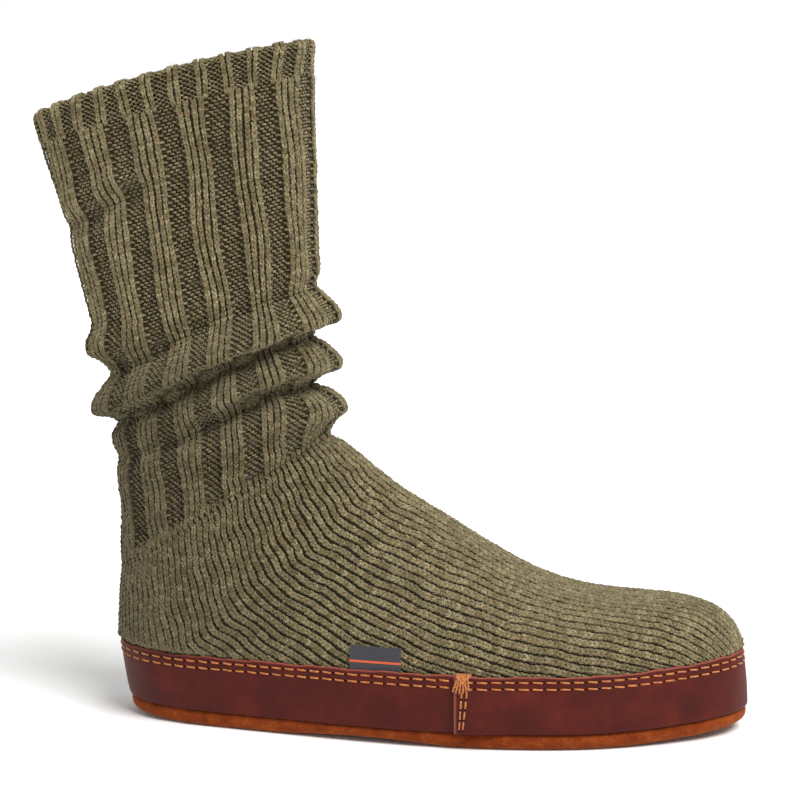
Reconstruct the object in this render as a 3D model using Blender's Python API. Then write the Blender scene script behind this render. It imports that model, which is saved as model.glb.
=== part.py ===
# Slipper sock, right foot, standing empty on its sole.
# A ribbed wool sock is closed underneath by a footbed and a suede sole. A low leather
# side band in two lengths, lapped at the sides, joins the wool to the sole.
# Metres. +X runs from heel to toe, +Y to the inner side of the foot, +Z up.
# The origin is the middle of the flat under the heel, on the floor.
import bpy
import numpy as np
import math

# Named sizes
SOLE_LENGTH = 0.288      # side band, heel to toe
BALL_WIDTH = 0.1020      # side band across the ball of the foot
INSTEP_HEIGHT = 0.1250   # floor to the bend of the ankle, at the front
SHAFT_HEIGHT = 0.1830    # bend of the ankle to the front of the collar
SHAFT_DEPTH = 0.0290     # half thickness of the flattened shaft

SOLE_THICKNESS = 0.0072
BAND_HEIGHT = 0.0260
BAND_WALL = 0.0016       # side leather
KNIT_WALL = 0.0020       # wool wall between the ribs
RIB_HEIGHT = 0.0011      # how far a rib stands out of the wall
RIBS = 14
RIB_TURN = 0.55          # first rib from the middle of the back, as a share of a rib's pitch
FOLD_HEIGHT = 0.0058     # tallest slouch fold
INSOLE_THICKNESS = 0.0080
TAG_LENGTH = 0.0235
TAG_HEIGHT = 0.0098
TAG_THICKNESS = 0.0009
LAP_LENGTH = 0.0100      # toe length of the band over the heel length
CLEARANCE = 0.0003       # gap left between pieces that touch
TRIM_OUT = 0.0300        # how far the trimming bodies reach past the band ...
TRIM_DOWN = 0.0200       # ... and below the floor

HEEL_SEAT = 0.19 * SOLE_LENGTH    # heel end to the origin
LAP_STEP = BAND_WALL + CLEARANCE
KNIT_INSET = BAND_WALL + CLEARANCE
INNER_INSET = KNIT_INSET + KNIT_WALL
BAND_LOW = SOLE_THICKNESS + CLEARANCE

# Outline of the side band from above: share of SOLE_LENGTH, share of BALL_WIDTH.
# It runs from the back of the heel along the outer side (negative) to the toe ...
OUTER_SIDE = [
    (0.000, 0.000), (0.012, -0.125), (0.045, -0.225), (0.100, -0.295), (0.200, -0.365),
    (0.300, -0.425), (0.400, -0.484), (0.500, -0.526), (0.600, -0.540), (0.680, -0.527),
    (0.760, -0.486), (0.840, -0.404), (0.900, -0.315), (0.950, -0.222), (0.985, -0.112),
    (1.000, 0.020)]
# ... and from the back of the heel along the inner side to the toe.
INNER_SIDE = [
    (0.000, 0.000), (0.012, 0.120), (0.045, 0.222), (0.100, 0.294), (0.200, 0.332),
    (0.300, 0.328), (0.400, 0.330), (0.500, 0.362), (0.600, 0.414), (0.680, 0.448),
    (0.760, 0.457), (0.840, 0.432), (0.900, 0.374), (0.950, 0.289), (0.985, 0.166),
    (1.000, 0.020)]

# How far the band leans out at its bottom and top edge, as shares of BAND_HEIGHT,
# by share of SOLE_LENGTH.
LEAN = [
    # along, bottom, top
    (0.00, -0.075, 0.092), (0.15, -0.045, 0.055), (0.40, -0.015, 0.020),
    (0.80, 0.000, 0.000), (1.00, 0.025, -0.065)]

# Shaft sections from the collar down. Back and front points: x as a share of
# SOLE_LENGTH, z as a share of SHAFT_HEIGHT above INSTEP_HEIGHT. Half width as a
# share of SHAFT_DEPTH. Widest level as a share of the way from back to front.
SHAFT = [
    # back x, back z, front x, front z, half width, widest, power
    (-0.1350, 0.8270, 0.3120, 1.0110, 1.02, 0.50, 2.3),
    (-0.1270, 0.7790, 0.3085, 0.9540, 0.97, 0.50, 2.3),
    (-0.1100, 0.6900, 0.3078, 0.8680, 0.97, 0.50, 2.3),
    (-0.0870, 0.5800, 0.3095, 0.7650, 0.98, 0.50, 2.3),
    (-0.0715, 0.4700, 0.3105, 0.6600, 0.98, 0.50, 2.3),
    (-0.0540, 0.3660, 0.3120, 0.5670, 0.98, 0.50, 2.3),
    (-0.0390, 0.2800, 0.3135, 0.4850, 0.99, 0.50, 2.3),
    (-0.0310, 0.2060, 0.3175, 0.4150, 1.00, 0.50, 2.3),
    (-0.0255, 0.1360, 0.3200, 0.3500, 1.01, 0.50, 2.3),
    (-0.0215, 0.0700, 0.3215, 0.2900, 1.02, 0.50, 2.3),
    (-0.0110, 0.0040, 0.3235, 0.2350, 1.03, 0.50, 2.3),
    (-0.0050, -0.0670, 0.3260, 0.1800, 1.05, 0.49, 2.3),
    (0.0005, -0.1440, 0.3310, 0.1270, 1.08, 0.48, 2.3),
    (0.0000, -0.2260, 0.3385, 0.0770, 1.11, 0.46, 2.3),
    (-0.0030, -0.3080, 0.3490, 0.0400, 1.14, 0.44, 2.3)]

# Foot sections from the ankle to the toe: x as shares of SOLE_LENGTH, z as shares
# of INSTEP_HEIGHT, half widths as shares of BALL_WIDTH.
FOOT = [
    # back x, back z, front x, front z, outer, inner, widest, power top, power low
    (-0.0085, 0.430, 0.3650, 1.012, 0.330, 0.325, 0.40, 2.2, 2.3),
    (-0.0095, 0.305, 0.3880, 0.968, 0.342, 0.332, 0.37, 2.2, 2.4),
    (-0.0030, 0.160, 0.4120, 0.922, 0.355, 0.338, 0.35, 2.1, 2.6),
    (0.0180, 0.040, 0.4380, 0.876, 0.372, 0.340, 0.34, 2.1, 3.0),
    (0.1110, 0.032, 0.4680, 0.832, 0.400, 0.340, 0.33, 2.0, 4.0),
    (0.2220, 0.032, 0.5030, 0.784, 0.440, 0.344, 0.33, 2.0, 5.0),
    (0.3400, 0.032, 0.5420, 0.730, 0.482, 0.352, 0.34, 2.0, 5.0),
    (0.4520, 0.032, 0.5860, 0.666, 0.518, 0.380, 0.37, 2.0, 5.0),
    (0.5550, 0.032, 0.6340, 0.602, 0.536, 0.414, 0.41, 2.0, 5.0),
    (0.6380, 0.032, 0.6820, 0.548, 0.530, 0.440, 0.45, 2.05, 5.0),
    (0.7190, 0.032, 0.7300, 0.512, 0.506, 0.456, 0.48, 2.15, 5.0),
    (0.7850, 0.032, 0.7830, 0.492, 0.462, 0.450, 0.50, 2.25, 5.0),
    (0.8440, 0.036, 0.8390, 0.484, 0.398, 0.428, 0.50, 2.3, 4.5),
    (0.8890, 0.040, 0.8870, 0.478, 0.328, 0.386, 0.50, 2.3, 4.0),
    (0.9240, 0.056, 0.9230, 0.464, 0.266, 0.336, 0.50, 2.2, 3.5),
    (0.9520, 0.080, 0.9510, 0.440, 0.206, 0.278, 0.50, 2.1, 3.0),
    (0.9730, 0.112, 0.9725, 0.404, 0.146, 0.216, 0.50, 2.0, 2.6),
    (0.9865, 0.152, 0.9865, 0.356, 0.088, 0.146, 0.50, 2.0, 2.3),
    (0.9940, 0.196, 0.9940, 0.306, 0.036, 0.080, 0.50, 2.0, 2.0)]
TOE_TIP = (0.9955, 0.020, 0.250)    # x, y, z as shares of the same sizes

# Slouch folds, each a path seen from the side: x as a share of SOLE_LENGTH, z as a
# share of SHAFT_HEIGHT above INSTEP_HEIGHT, height as a share of FOLD_HEIGHT.
# Width is the half width across the fold, as a share of FOLD_HEIGHT.
FOLDS = [
    ("main ridge", 1.00, [
        (-0.060, 0.090, 1.00), (0.085, 0.162, 0.80), (0.160, 0.222, 0.85),
        (0.235, 0.267, 0.90), (0.300, 0.307, 1.00), (0.360, 0.341, 1.15)]),
    ("crease below it", 0.85, [
        (-0.060, 0.030, -0.25), (0.030, 0.098, -0.60), (0.090, 0.132, -0.85),
        (0.160, 0.186, -0.80), (0.225, 0.225, -0.55), (0.300, 0.262, -0.30),
        (0.360, 0.284, -0.35)]),
    ("upper back bump", 1.05, [
        (-0.080, 0.240, 0.95), (-0.020, 0.262, 0.60), (0.040, 0.285, 0.20),
        (0.120, 0.315, 0.00), (0.360, 0.400, 0.00)]),
    ("second ridge", 0.95, [
        (-0.060, 0.000, 0.05), (0.120, 0.090, 0.15), (0.200, 0.140, 0.35),
        (0.270, 0.178, 0.65), (0.360, 0.212, 1.05)]),
    ("crease below that", 0.70, [
        (-0.060, -0.060, -0.10), (0.190, 0.080, -0.35), (0.250, 0.125, -0.55),
        (0.360, 0.168, -0.50)]),
    ("third ridge", 1.15, [
        (-0.060, -0.140, 0.05), (0.150, 0.010, 0.25), (0.250, 0.070, 0.55),
        (0.370, 0.118, 1.20)]),
    ("bend of the ankle", 0.95, [
        (0.000, -0.240, 0.00), (0.200, -0.100, -0.15), (0.310, 0.010, -0.35),
        (0.370, 0.068, -0.35)])]

# Underside of the sole above the floor: share of SOLE_LENGTH, height as a share of
# SOLE_THICKNESS. It is flat under the heel and under the ball.
UNDERSIDE = [
    (0.000, 0.300), (0.060, 0.110), (0.120, 0.000), (0.260, 0.000), (0.340, 0.180),
    (0.420, 0.270), (0.500, 0.160), (0.560, 0.000), (0.740, 0.000), (0.820, 0.060),
    (0.900, 0.240), (1.000, 0.560)]
SPRING = [
    (0.000, 0.160), (0.060, 0.060), (0.120, 0.000), (0.740, 0.000), (0.820, 0.060),
    (0.900, 0.220), (1.000, 0.500)]


def smooth(keys, values, at):
    """Smooth curve through the values at the keys, level past the ends."""
    k = np.asarray(keys, float)
    v = np.asarray(values, float)
    at = np.clip(np.asarray(at, float), k[0], k[-1])
    h = np.diff(k)
    d = np.diff(v) / h
    m = np.empty_like(v)
    m[0], m[-1] = d[0], d[-1]
    m[1:-1] = (d[:-1] * h[1:] + d[1:] * h[:-1]) / (h[:-1] + h[1:])
    m[1:-1][d[:-1] * d[1:] <= 0] = 0.0
    i = np.clip(np.searchsorted(k, at, side="right") - 1, 0, len(k) - 2)
    t = (at - k[i]) / h[i]
    return (v[i] * (1 + 2 * t) * (1 - t) ** 2 + v[i + 1] * t * t * (3 - 2 * t)
            + h[i] * (m[i] * t * (1 - t) ** 2 - m[i + 1] * t * t * (1 - t)))


def column(table, number):
    return np.array([row[number] for row in table], float)


def spring(x):
    """Rise of the sole's top and of what stands on it, at a distance from the heel."""
    return SOLE_THICKNESS * smooth(column(SPRING, 0), column(SPRING, 1), x / SOLE_LENGTH)


def underside(x):
    return SOLE_THICKNESS * smooth(column(UNDERSIDE, 0), column(UNDERSIDE, 1), x / SOLE_LENGTH)


def outline(half_count):
    """Band outline from the back of the heel, outer side first, with outward normals."""
    sides = []
    for table in (OUTER_SIDE, INNER_SIDE):
        x, y = column(table, 0) * SOLE_LENGTH, column(table, 1) * BALL_WIDTH
        step = np.hypot(np.diff(x), np.diff(y))
        along = np.concatenate([[0.0], np.cumsum(step)])
        fine = np.linspace(0.0, along[-1], 800)
        fx, fy = rounded(along, x, fine), rounded(along, y, fine, ends=True)
        length = np.concatenate([[0.0], np.cumsum(np.hypot(np.diff(fx), np.diff(fy)))])
        want = np.linspace(0.0, length[-1], half_count + 1)
        sides.append(np.column_stack([np.interp(want, length, fx), np.interp(want, length, fy)]))
    loop = np.vstack([sides[0], sides[1][-2:0:-1]])
    ahead, behind = np.roll(loop, -1, axis=0), np.roll(loop, 1, axis=0)
    run = ahead - behind
    normal = np.column_stack([run[:, 1], -run[:, 0]])
    normal *= 1.0 / np.linalg.norm(normal, axis=1)[:, None]
    return loop, normal


def rounded(keys, values, at, ends=False):
    """Cubic through the values; at the heel and toe it leaves square to the axis."""
    k, v = keys, values
    h, d = np.diff(k), np.diff(v) / np.diff(k)
    m = np.empty_like(v)
    m[1:-1] = (d[:-1] * h[1:] + d[1:] * h[:-1]) / (h[:-1] + h[1:])
    m[0], m[-1] = (np.sign(v[1]), -np.sign(v[1])) if ends else (0.0, 0.0)
    i = np.clip(np.searchsorted(k, at, side="right") - 1, 0, len(k) - 2)
    t = (at - k[i]) / h[i]
    return (v[i] * (1 + 2 * t) * (1 - t) ** 2 + v[i + 1] * t * t * (3 - 2 * t)
            + h[i] * (m[i] * t * (1 - t) ** 2 - m[i + 1] * t * t * (1 - t)))


HALF = 36
LOOP, NORMAL = outline(HALF)


def lean(x, level):
    """Outward lean of the band at a height level from 0, its bottom, to 1, its top."""
    share = x / SOLE_LENGTH
    low = smooth(column(LEAN, 0), column(LEAN, 1), share)
    top = smooth(column(LEAN, 0), column(LEAN, 2), share)
    belly = 0.012 * 4.0 * level * (1.0 - level)
    return BAND_HEIGHT * (low + (top - low) * level + belly)


def ring_at(inset, height, base=spring, level=None):
    """Loop of points inside the band outline, at a height over the sole line."""
    if level is None:
        level = min(max((height - BAND_LOW) / BAND_HEIGHT, 0.0), 1.0)
    out = lean(LOOP[:, 0], level) - inset
    flat = LOOP + NORMAL * out[:, None]
    return np.column_stack([flat, height + base(LOOP[:, 0])])


def section_rows():
    """Every section as back x, z, front x, z, outer, inner, widest, top and low power."""
    rows = []
    for bx, bz, fx, fz, wide, level, power in SHAFT:
        rows.append((bx * SOLE_LENGTH, INSTEP_HEIGHT + bz * SHAFT_HEIGHT, fx * SOLE_LENGTH,
                     INSTEP_HEIGHT + fz * SHAFT_HEIGHT, wide * SHAFT_DEPTH,
                     wide * SHAFT_DEPTH, level, power, power))
    for bx, bz, fx, fz, outer, inner, level, top, low in FOOT:
        rows.append((bx * SOLE_LENGTH, bz * INSTEP_HEIGHT, fx * SOLE_LENGTH,
                     fz * INSTEP_HEIGHT, outer * BALL_WIDTH, inner * BALL_WIDTH, level,
                     top, low))
    return np.array(rows)


ROWS = section_rows()
LAST = len(ROWS) - 1
RIB_END = len(SHAFT) - 1.3    # row where the ribs run out into plain knitting


def section(row):
    """Fine closed curve of one section, with its share of the girth at each point."""
    keys = np.arange(len(ROWS))
    bx, bz, fx, fz, outer, inner, level, top, low = (
        float(smooth(keys, ROWS[:, i], row)) for i in range(9))
    angle = np.linspace(0.0, 2.0 * math.pi, 361)
    c, s = np.cos(angle), np.sin(angle)
    power = np.where(c > 0, low, top)
    across = np.abs(s) ** (2.0 / power) * np.where(s >= 0, -outer, inner)
    reach = np.abs(c) ** (2.0 / power)
    along = np.where(c > 0, level - level * reach, level + (1.0 - level) * reach)
    rim = 0.018 * SHAFT_HEIGHT * s * s * np.clip(1.0 - row / 3.0, 0.0, 1.0)
    turn = 0.020 * BALL_WIDTH * np.clip((row - 12.0) / 6.0, 0.0, 1.0)
    pts = np.column_stack([bx + (fx - bx) * along, across + turn,
                           bz + (fz - bz) * along + rim])
    half = len(angle) // 2
    step = np.linalg.norm(np.diff(pts, axis=0), axis=1)
    left = np.concatenate([[0.0], np.cumsum(step[:half])])
    right = np.concatenate([[0.0], np.cumsum(step[half:])])
    share = np.concatenate([0.5 * left / left[-1], 0.5 + 0.5 * right[1:] / right[-1]])
    return share, pts


def skin(shares, rows):
    """Smooth surface before folds and ribs, an array of rows by girth shares by xyz."""
    grid = []
    for row in rows:
        share, pts = section(row)
        u = np.mod(shares, 1.0)
        grid.append(np.column_stack([np.interp(u, share, pts[:, i]) for i in range(3)]))
    return np.array(grid)


def outward(shares, rows):
    """Unit normals of the smooth surface."""
    du, dr = 0.004, 0.06
    a = skin(shares + du, rows) - skin(shares - du, rows)
    b = (skin(shares, np.minimum(np.asarray(rows) + dr, LAST))
         - skin(shares, np.maximum(np.asarray(rows) - dr, 0.0)))
    n = np.cross(b, a)
    return n / np.maximum(np.linalg.norm(n, axis=2), 1e-12)[:, :, None]


def fold_height(pts):
    """Height of the slouch folds at points of the shaft, by their place seen sideways."""
    x = pts[..., 0] / SOLE_LENGTH
    total = np.zeros(x.shape)
    for name, width, path in FOLDS:
        z = INSTEP_HEIGHT + SHAFT_HEIGHT * smooth(column(path, 0), column(path, 1), x)
        rise = smooth(column(path, 0), column(path, 2), x)
        away = (pts[..., 2] - z) * 0.92 / (width * FOLD_HEIGHT)
        total += FOLD_HEIGHT * rise * np.exp(-away * away)
    return total


def rib_height(shares, rows):
    """Rib profile round the shaft: flat ribs, flat channels, short flanks."""
    phase = np.abs(np.mod(shares * RIBS - RIB_TURN, 1.0) - 0.5) * 2.0
    shape = np.clip((0.70 - phase) / 0.16, 0.0, 1.0)
    shape = shape * shape * (3.0 - 2.0 * shape)
    fade = np.clip((RIB_END + 0.5 - np.asarray(rows, float)) / 0.9, 0.0, 1.0)
    return RIB_HEIGHT * shape[None, :] * fade[:, None]


def new_object(name, verts, faces, material, sharp=40.0, home=None):
    mesh = bpy.data.meshes.new(name)
    moved = [(float(x) - HEEL_SEAT, float(y), float(z)) for x, y, z in verts]
    mesh.from_pydata(moved, [], faces)
    mesh.validate()
    obj = bpy.data.objects.new(name, mesh)
    (home or HOME).objects.link(obj)
    if material:
        mesh.materials.append(material)
    mesh.shade_smooth()
    mesh.set_sharp_from_angle(angle=math.radians(sharp))
    return obj


def material(name, colour, roughness):
    mat = bpy.data.materials.new(name)
    mat.use_nodes = True
    shader = mat.node_tree.nodes["Principled BSDF"]
    shader.inputs["Base Color"].default_value = (*colour, 1.0)
    shader.inputs["Roughness"].default_value = roughness
    return mat


def tube(rings, start_point, end_point):
    """Closed body from equal rings, each end closed by a fan to a point."""
    count = len(rings[0])
    verts = [tuple(p) for ring in rings for p in ring]
    faces = []
    for r in range(len(rings) - 1):
        for i in range(count):
            j = (i + 1) % count
            faces.append((r * count + i, (r + 1) * count + i, (r + 1) * count + j,
                          r * count + j))
    verts += [tuple(start_point), tuple(end_point)]
    a, b, base = len(verts) - 2, len(verts) - 1, (len(rings) - 1) * count
    for i in range(count):
        j = (i + 1) % count
        faces.append((a, i, j))
        faces.append((b, base + j, base + i))
    return verts, faces


def plate(rings):
    """Closed body from outline loops stacked upwards, capped by strips across."""
    count = len(rings[0])
    verts = [tuple(p) for ring in rings for p in ring]
    faces = []
    for r in range(len(rings) - 1):
        for i in range(count):
            j = (i + 1) % count
            faces.append((r * count + i, r * count + j, (r + 1) * count + j,
                          (r + 1) * count + i))
    top = (len(rings) - 1) * count
    for i in range(count // 2):
        a, b = i, i + 1
        c, d = (count - i - 1) % count, (count - i) % count
        if i == 0:
            low, high = [(a, c, b)], [(a, b, c)]
        elif i == count // 2 - 1:
            low, high = [(a, d, b)], [(a, b, d)]
        else:
            low, high = [(a, d, c, b)], [(a, b, c, d)]
        faces += low
        faces += [tuple(top + k for k in f) for f in high]
    return verts, faces


def hoop(inner, outer):
    """Closed ring body between two stacks of loops of equal count."""
    count, levels = len(inner[0]), len(inner)
    verts = [tuple(p) for ring in inner for p in ring] + [tuple(p) for ring in outer for p in ring]
    off = levels * count
    faces = []
    for i in range(count):
        j = (i + 1) % count
        for r in range(levels - 1):
            a, b, c, d = r * count + i, r * count + j, (r + 1) * count + j, (r + 1) * count + i
            faces.append((a, d, c, b))
            faces.append((off + a, off + b, off + c, off + d))
        t = (levels - 1) * count
        faces.append((i, j, off + j, off + i))
        faces.append((t + j, t + i, off + t + i, off + t + j))
    return verts, faces


def cutter(name, verts, faces):
    """Body that is only taken away from another; it stays hidden."""
    obj = new_object(name, verts, faces, None, home=CUTTERS)
    obj.hide_render = True
    obj.display_type = "WIRE"


# Start from an empty scene
for old in list(bpy.data.objects):
    bpy.data.objects.remove(old, do_unlink=True)
HOME = bpy.data.collections.new("slipper sock")
bpy.context.scene.collection.children.link(HOME)
CUTTERS = bpy.data.collections.new("cutters")
bpy.context.scene.collection.children.link(CUTTERS)
CUTTERS.hide_render = True

WOOL = material("olive ragg wool", (0.20, 0.18, 0.11), 0.95)
LEATHER = material("oxblood side leather", (0.085, 0.022, 0.018), 0.50)
SUEDE = material("rust suede", (0.42, 0.15, 0.035), 0.90)
FLEECE = material("grey felt footbed", (0.30, 0.29, 0.26), 0.95)
WOVEN = material("slate woven tape", (0.13, 0.14, 0.15), 0.85)

# Knitted upper. Four mesh columns to a rib on the shaft: channel edge, rib edge, rib
# edge, channel edge. They even out over the ankle for the round foot.
RIB_NODES = np.array([0.14, 0.24, 0.76, 0.86])
EVEN_NODES = np.array([0.125, 0.375, 0.625, 0.875])
rows_out = np.concatenate([
    [0.0, 0.5, 1.0], np.arange(2.0, 6.0), [6.0, 6.6], np.arange(7.0, 13.0, 0.46),
    np.arange(13.0, LAST - 2.0, 1.0), [LAST - 1.0, LAST]])


def knit_grid(rows, nodes_per_rib, extra):
    """Outer surface rows for the mesh; extra is added along the normal."""
    rings = []
    for row in rows:
        even = min(max((row - (RIB_END - 0.8)) / 3.0, 0.0), 1.0)
        if nodes_per_rib == 4:
            nodes = RIB_NODES * (1.0 - even) + EVEN_NODES * even
        else:
            nodes = (np.arange(nodes_per_rib) + 0.5) / nodes_per_rib
        shares = (np.arange(RIBS)[:, None] + nodes[None, :] + RIB_TURN - 1.0).ravel() / RIBS
        pts = skin(shares, [row])[0]
        normal = outward(shares, [row])[0]
        rise = fold_height(pts)
        if nodes_per_rib == 4:
            rise = rise + rib_height(shares, [row])[0]
        rings.append(pts + normal * (rise + extra)[:, None])
    return np.array(rings)


def mean_point(ring, dx=0.0, dz=0.0):
    c = np.mean(ring, axis=0)
    return (c[0] + dx, c[1], c[2] + dz)


tip = np.array([TOE_TIP[0] * SOLE_LENGTH, TOE_TIP[1] * BALL_WIDTH, TOE_TIP[2] * INSTEP_HEIGHT])
body = knit_grid(rows_out, 4, 0.0)
verts, faces = tube(list(body), mean_point(body[0]), tip)
upper = new_object("upper_knit", verts, faces, WOOL, 60.0)

rows_in = np.concatenate([
    [0.0, 1.0, 2.5, 4.0, 5.5], [6.3], np.arange(7.0, 13.0, 0.5),
    np.arange(13.0, LAST - 3.0, 1.0), [LAST - 2.0]])
hollow = knit_grid(rows_in, 3, -KNIT_WALL)
loop_fine, normal_fine = outline(300)
for ring in hollow:
    # Inside the band the wool wall keeps clear of the leather.
    for p in ring:
        away = p[:2] - loop_fine
        near = int(np.argmin((away ** 2).sum(axis=1)))
        out = float(away[near] @ normal_fine[near]) - float(lean(loop_fine[near, 0], 0.8))
        top = BAND_LOW + BAND_HEIGHT + float(spring(p[0]))
        hold = min(max((top + 0.010 - p[2]) / 0.006, 0.0), 1.0)
        over = out + (INNER_INSET + 0.0004) * hold
        if hold > 0 and over > 0:
            p[:2] -= normal_fine[near] * over
above = hollow[0] + np.array([-0.004, 0.0, 0.014])
verts, faces = tube([above] + list(hollow), mean_point(above, dz=0.002),
                    tip - np.array([0.0045, 0.0, 0.0]))
cutter("inside of the knit", verts, faces)

# The band's wall and the sole line cut the lower edge of the wool.
levels = [-TRIM_DOWN, BAND_LOW, BAND_LOW + 0.33 * BAND_HEIGHT, BAND_LOW + 0.67 * BAND_HEIGHT,
          BAND_LOW + BAND_HEIGHT + TRIM_DOWN / 40]
verts, faces = hoop([ring_at(KNIT_INSET, z) for z in levels],
                    [ring_at(-TRIM_OUT, z) for z in levels])
cutter("room for the band", verts, faces)
verts, faces = plate([ring_at(-TRIM_DOWN, -TRIM_OUT), ring_at(-TRIM_DOWN, BAND_LOW + 2 * CLEARANCE)])
cutter("sole line", verts, faces)
verts, faces = plate([ring_at(INNER_INSET, z) for z in
                      (-1.25 * TRIM_DOWN, BAND_LOW, BAND_LOW + 1.125 * INSOLE_THICKNESS)])
cutter("room for the insole", verts, faces)
mod = upper.modifiers.new("hollow and trim", "BOOLEAN")
mod.operation = "DIFFERENCE"
mod.solver = "EXACT"
mod.operand_type = "COLLECTION"
mod.collection = CUTTERS

# Suede sole: rounded edge set in under the band, flat under the heel and the ball.
edge = [
    # height share, inset share of SOLE_THICKNESS
    (0.00, 0.72), (0.07, 0.44), (0.22, 0.24), (0.50, 0.13), (0.80, 0.14), (0.93, 0.20),
    (1.00, 0.34)]
rings = []
for high, inset in edge:
    ring = ring_at(inset * SOLE_THICKNESS, high * SOLE_THICKNESS, level=0.0)
    base = underside(LOOP[:, 0]) * (1.0 - high) + spring(LOOP[:, 0]) * high
    ring[:, 2] = high * SOLE_THICKNESS + base
    rings.append(ring)
verts, faces = plate(rings)
new_object("outsole", verts, faces, SUEDE, 50.0)

# Footbed: a flat pad inside the wool, its upper edge rounded.
rings = [ring_at(INNER_INSET + CLEARANCE + inset, BAND_LOW + high * INSOLE_THICKNESS)
         for high, inset in ((0.0, 0.0008), (0.10, 0.0), (0.80, 0.0), (0.95, 0.0010),
                             (1.0, 0.0030))]
verts, faces = plate(rings)
new_object("insole", verts, faces, FLEECE, 50.0)

# Side band in two lengths of leather. The toe length laps over the heel length.
SEAM = 0.560 * SOLE_LENGTH
first = int(np.argmin(np.abs(LOOP[:HALF, 0] - SEAM)))
last = HALF + int(np.argmin(np.abs(LOOP[HALF:, 0] - SEAM)))


def strip(indices, shares, outs):
    """Band length through outline points; outs lifts it off the outline."""
    levels = [0.0, 0.33, 0.67, 1.0]
    verts, faces = [], []
    for i, share, out in zip(indices, shares, outs):
        j = (i + 1) % (2 * HALF)
        for face_inset in (0.0, BAND_WALL):
            for level in levels:
                z = BAND_LOW + level * BAND_HEIGHT
                a = ring_at(face_inset - out, z, level=level)
                verts.append(tuple(a[i] * (1.0 - share) + a[j] * share))
    n, per = len(levels), 2 * len(levels)
    for k in range(len(indices) - 1):
        for r in range(n - 1):
            a, b = k * per + r, (k + 1) * per + r
            faces.append((a, b, b + 1, a + 1))
            faces.append((a + n, a + n + 1, b + n + 1, b + n))
        a, b = k * per, (k + 1) * per
        faces.append((a, a + n, b + n, b))
        faces.append((a + n - 1, b + n - 1, b + per - 1, a + per - 1))
    for k, flip in ((0, False), (len(indices) - 1, True)):
        for r in range(n - 1):
            a = k * per + r
            face = (a, a + 1, a + n + 1, a + n)
            faces.append(face[::-1] if flip else face)
    return verts, faces


def places(start, stop, marks):
    """Outline points from start to stop as indices and shares, with marks put in."""
    seg = np.linalg.norm(np.roll(LOOP, -1, axis=0) - LOOP, axis=1)
    along = np.concatenate([[0.0], np.cumsum(seg)])
    total = along[-1]
    inside = [along[i % (2 * HALF)] + total * (i // (2 * HALF)) for i in range(4 * HALF)]
    wanted = sorted([start, stop] + [s for s in inside if start + 0.0015 < s < stop - 0.0015
                                     and min(abs(s - m) for m in marks) > 0.0015] + marks)
    idx, share = [], []
    for s in wanted:
        s0 = s % total
        i = min(int(np.searchsorted(along, s0, side="right")) - 1, 2 * HALF - 1)
        idx.append(i)
        share.append((s0 - along[i]) / seg[i])
    return np.array(wanted), idx, share


seg = np.linalg.norm(np.roll(LOOP, -1, axis=0) - LOOP, axis=1)
along = np.concatenate([[0.0], np.cumsum(seg)])
outer_seam, inner_seam, total = along[first], along[last], along[-1]
BLEND = 1.2 * LAP_LENGTH
marks = [outer_seam + LAP_LENGTH + 0.001, outer_seam + LAP_LENGTH + 0.001 + BLEND,
         inner_seam - LAP_LENGTH - 0.001 - BLEND, inner_seam - LAP_LENGTH - 0.001]
where, idx, share = places(outer_seam, inner_seam, marks)
outs = LAP_STEP * np.clip(np.maximum(marks[1] - where, where - marks[2]) / BLEND, 0.0, 1.0)
verts, faces = strip(idx, share, outs)
new_object("band_toe", verts, faces, LEATHER, 40.0)
where, idx, share = places(inner_seam - LAP_LENGTH, total + outer_seam + LAP_LENGTH,
                           [inner_seam, total + outer_seam])
verts, faces = strip(idx, share, np.zeros(len(where)))
new_object("band_heel", verts, faces, LEATHER, 40.0)

# Woven side tag: a short tape standing on the band's top edge against the wool.
TAG_AT = 0.434 * SOLE_LENGTH
side_x = np.linspace(TAG_AT - TAG_LENGTH / 2, TAG_AT + TAG_LENGTH / 2, 6)
fine_rows = np.linspace(16.0, 26.0, 121)
fine_shares = np.linspace(0.02, 0.48, 231)
side = skin(fine_shares, fine_rows).reshape(-1, 3)
verts, faces = [], []
heights = [BAND_LOW + BAND_HEIGHT + CLEARANCE + t * TAG_HEIGHT for t in (0.0, 0.35, 0.7, 1.0)]
for x in side_x:
    for depth in (0.0, TAG_THICKNESS):
        for z in heights:
            near = np.argsort((side[:, 0] - x) ** 2 + (side[:, 2] - z) ** 2)[:4]
            y = float(side[near, 1].min()) - 0.0006 - depth
            verts.append((x, y, z))
n, per = len(heights), 2 * len(heights)
for k in range(len(side_x) - 1):
    for r in range(n - 1):
        a, b = k * per + r, (k + 1) * per + r
        faces.append((a, a + 1, b + 1, b))
        faces.append((a + n, b + n, b + n + 1, a + n + 1))
    a, b = k * per, (k + 1) * per
    faces.append((a, b, b + n, a + n))
    faces.append((a + n - 1, a + per - 1, b + per - 1, b + n - 1))
for k, flip in ((0, False), (len(side_x) - 1, True)):
    for r in range(n - 1):
        a = k * per + r
        face = (a, a + n, a + n + 1, a + 1)
        faces.append(face[::-1] if flip else face)
new_object("side_tag", verts, faces, WOVEN, 40.0)
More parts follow.
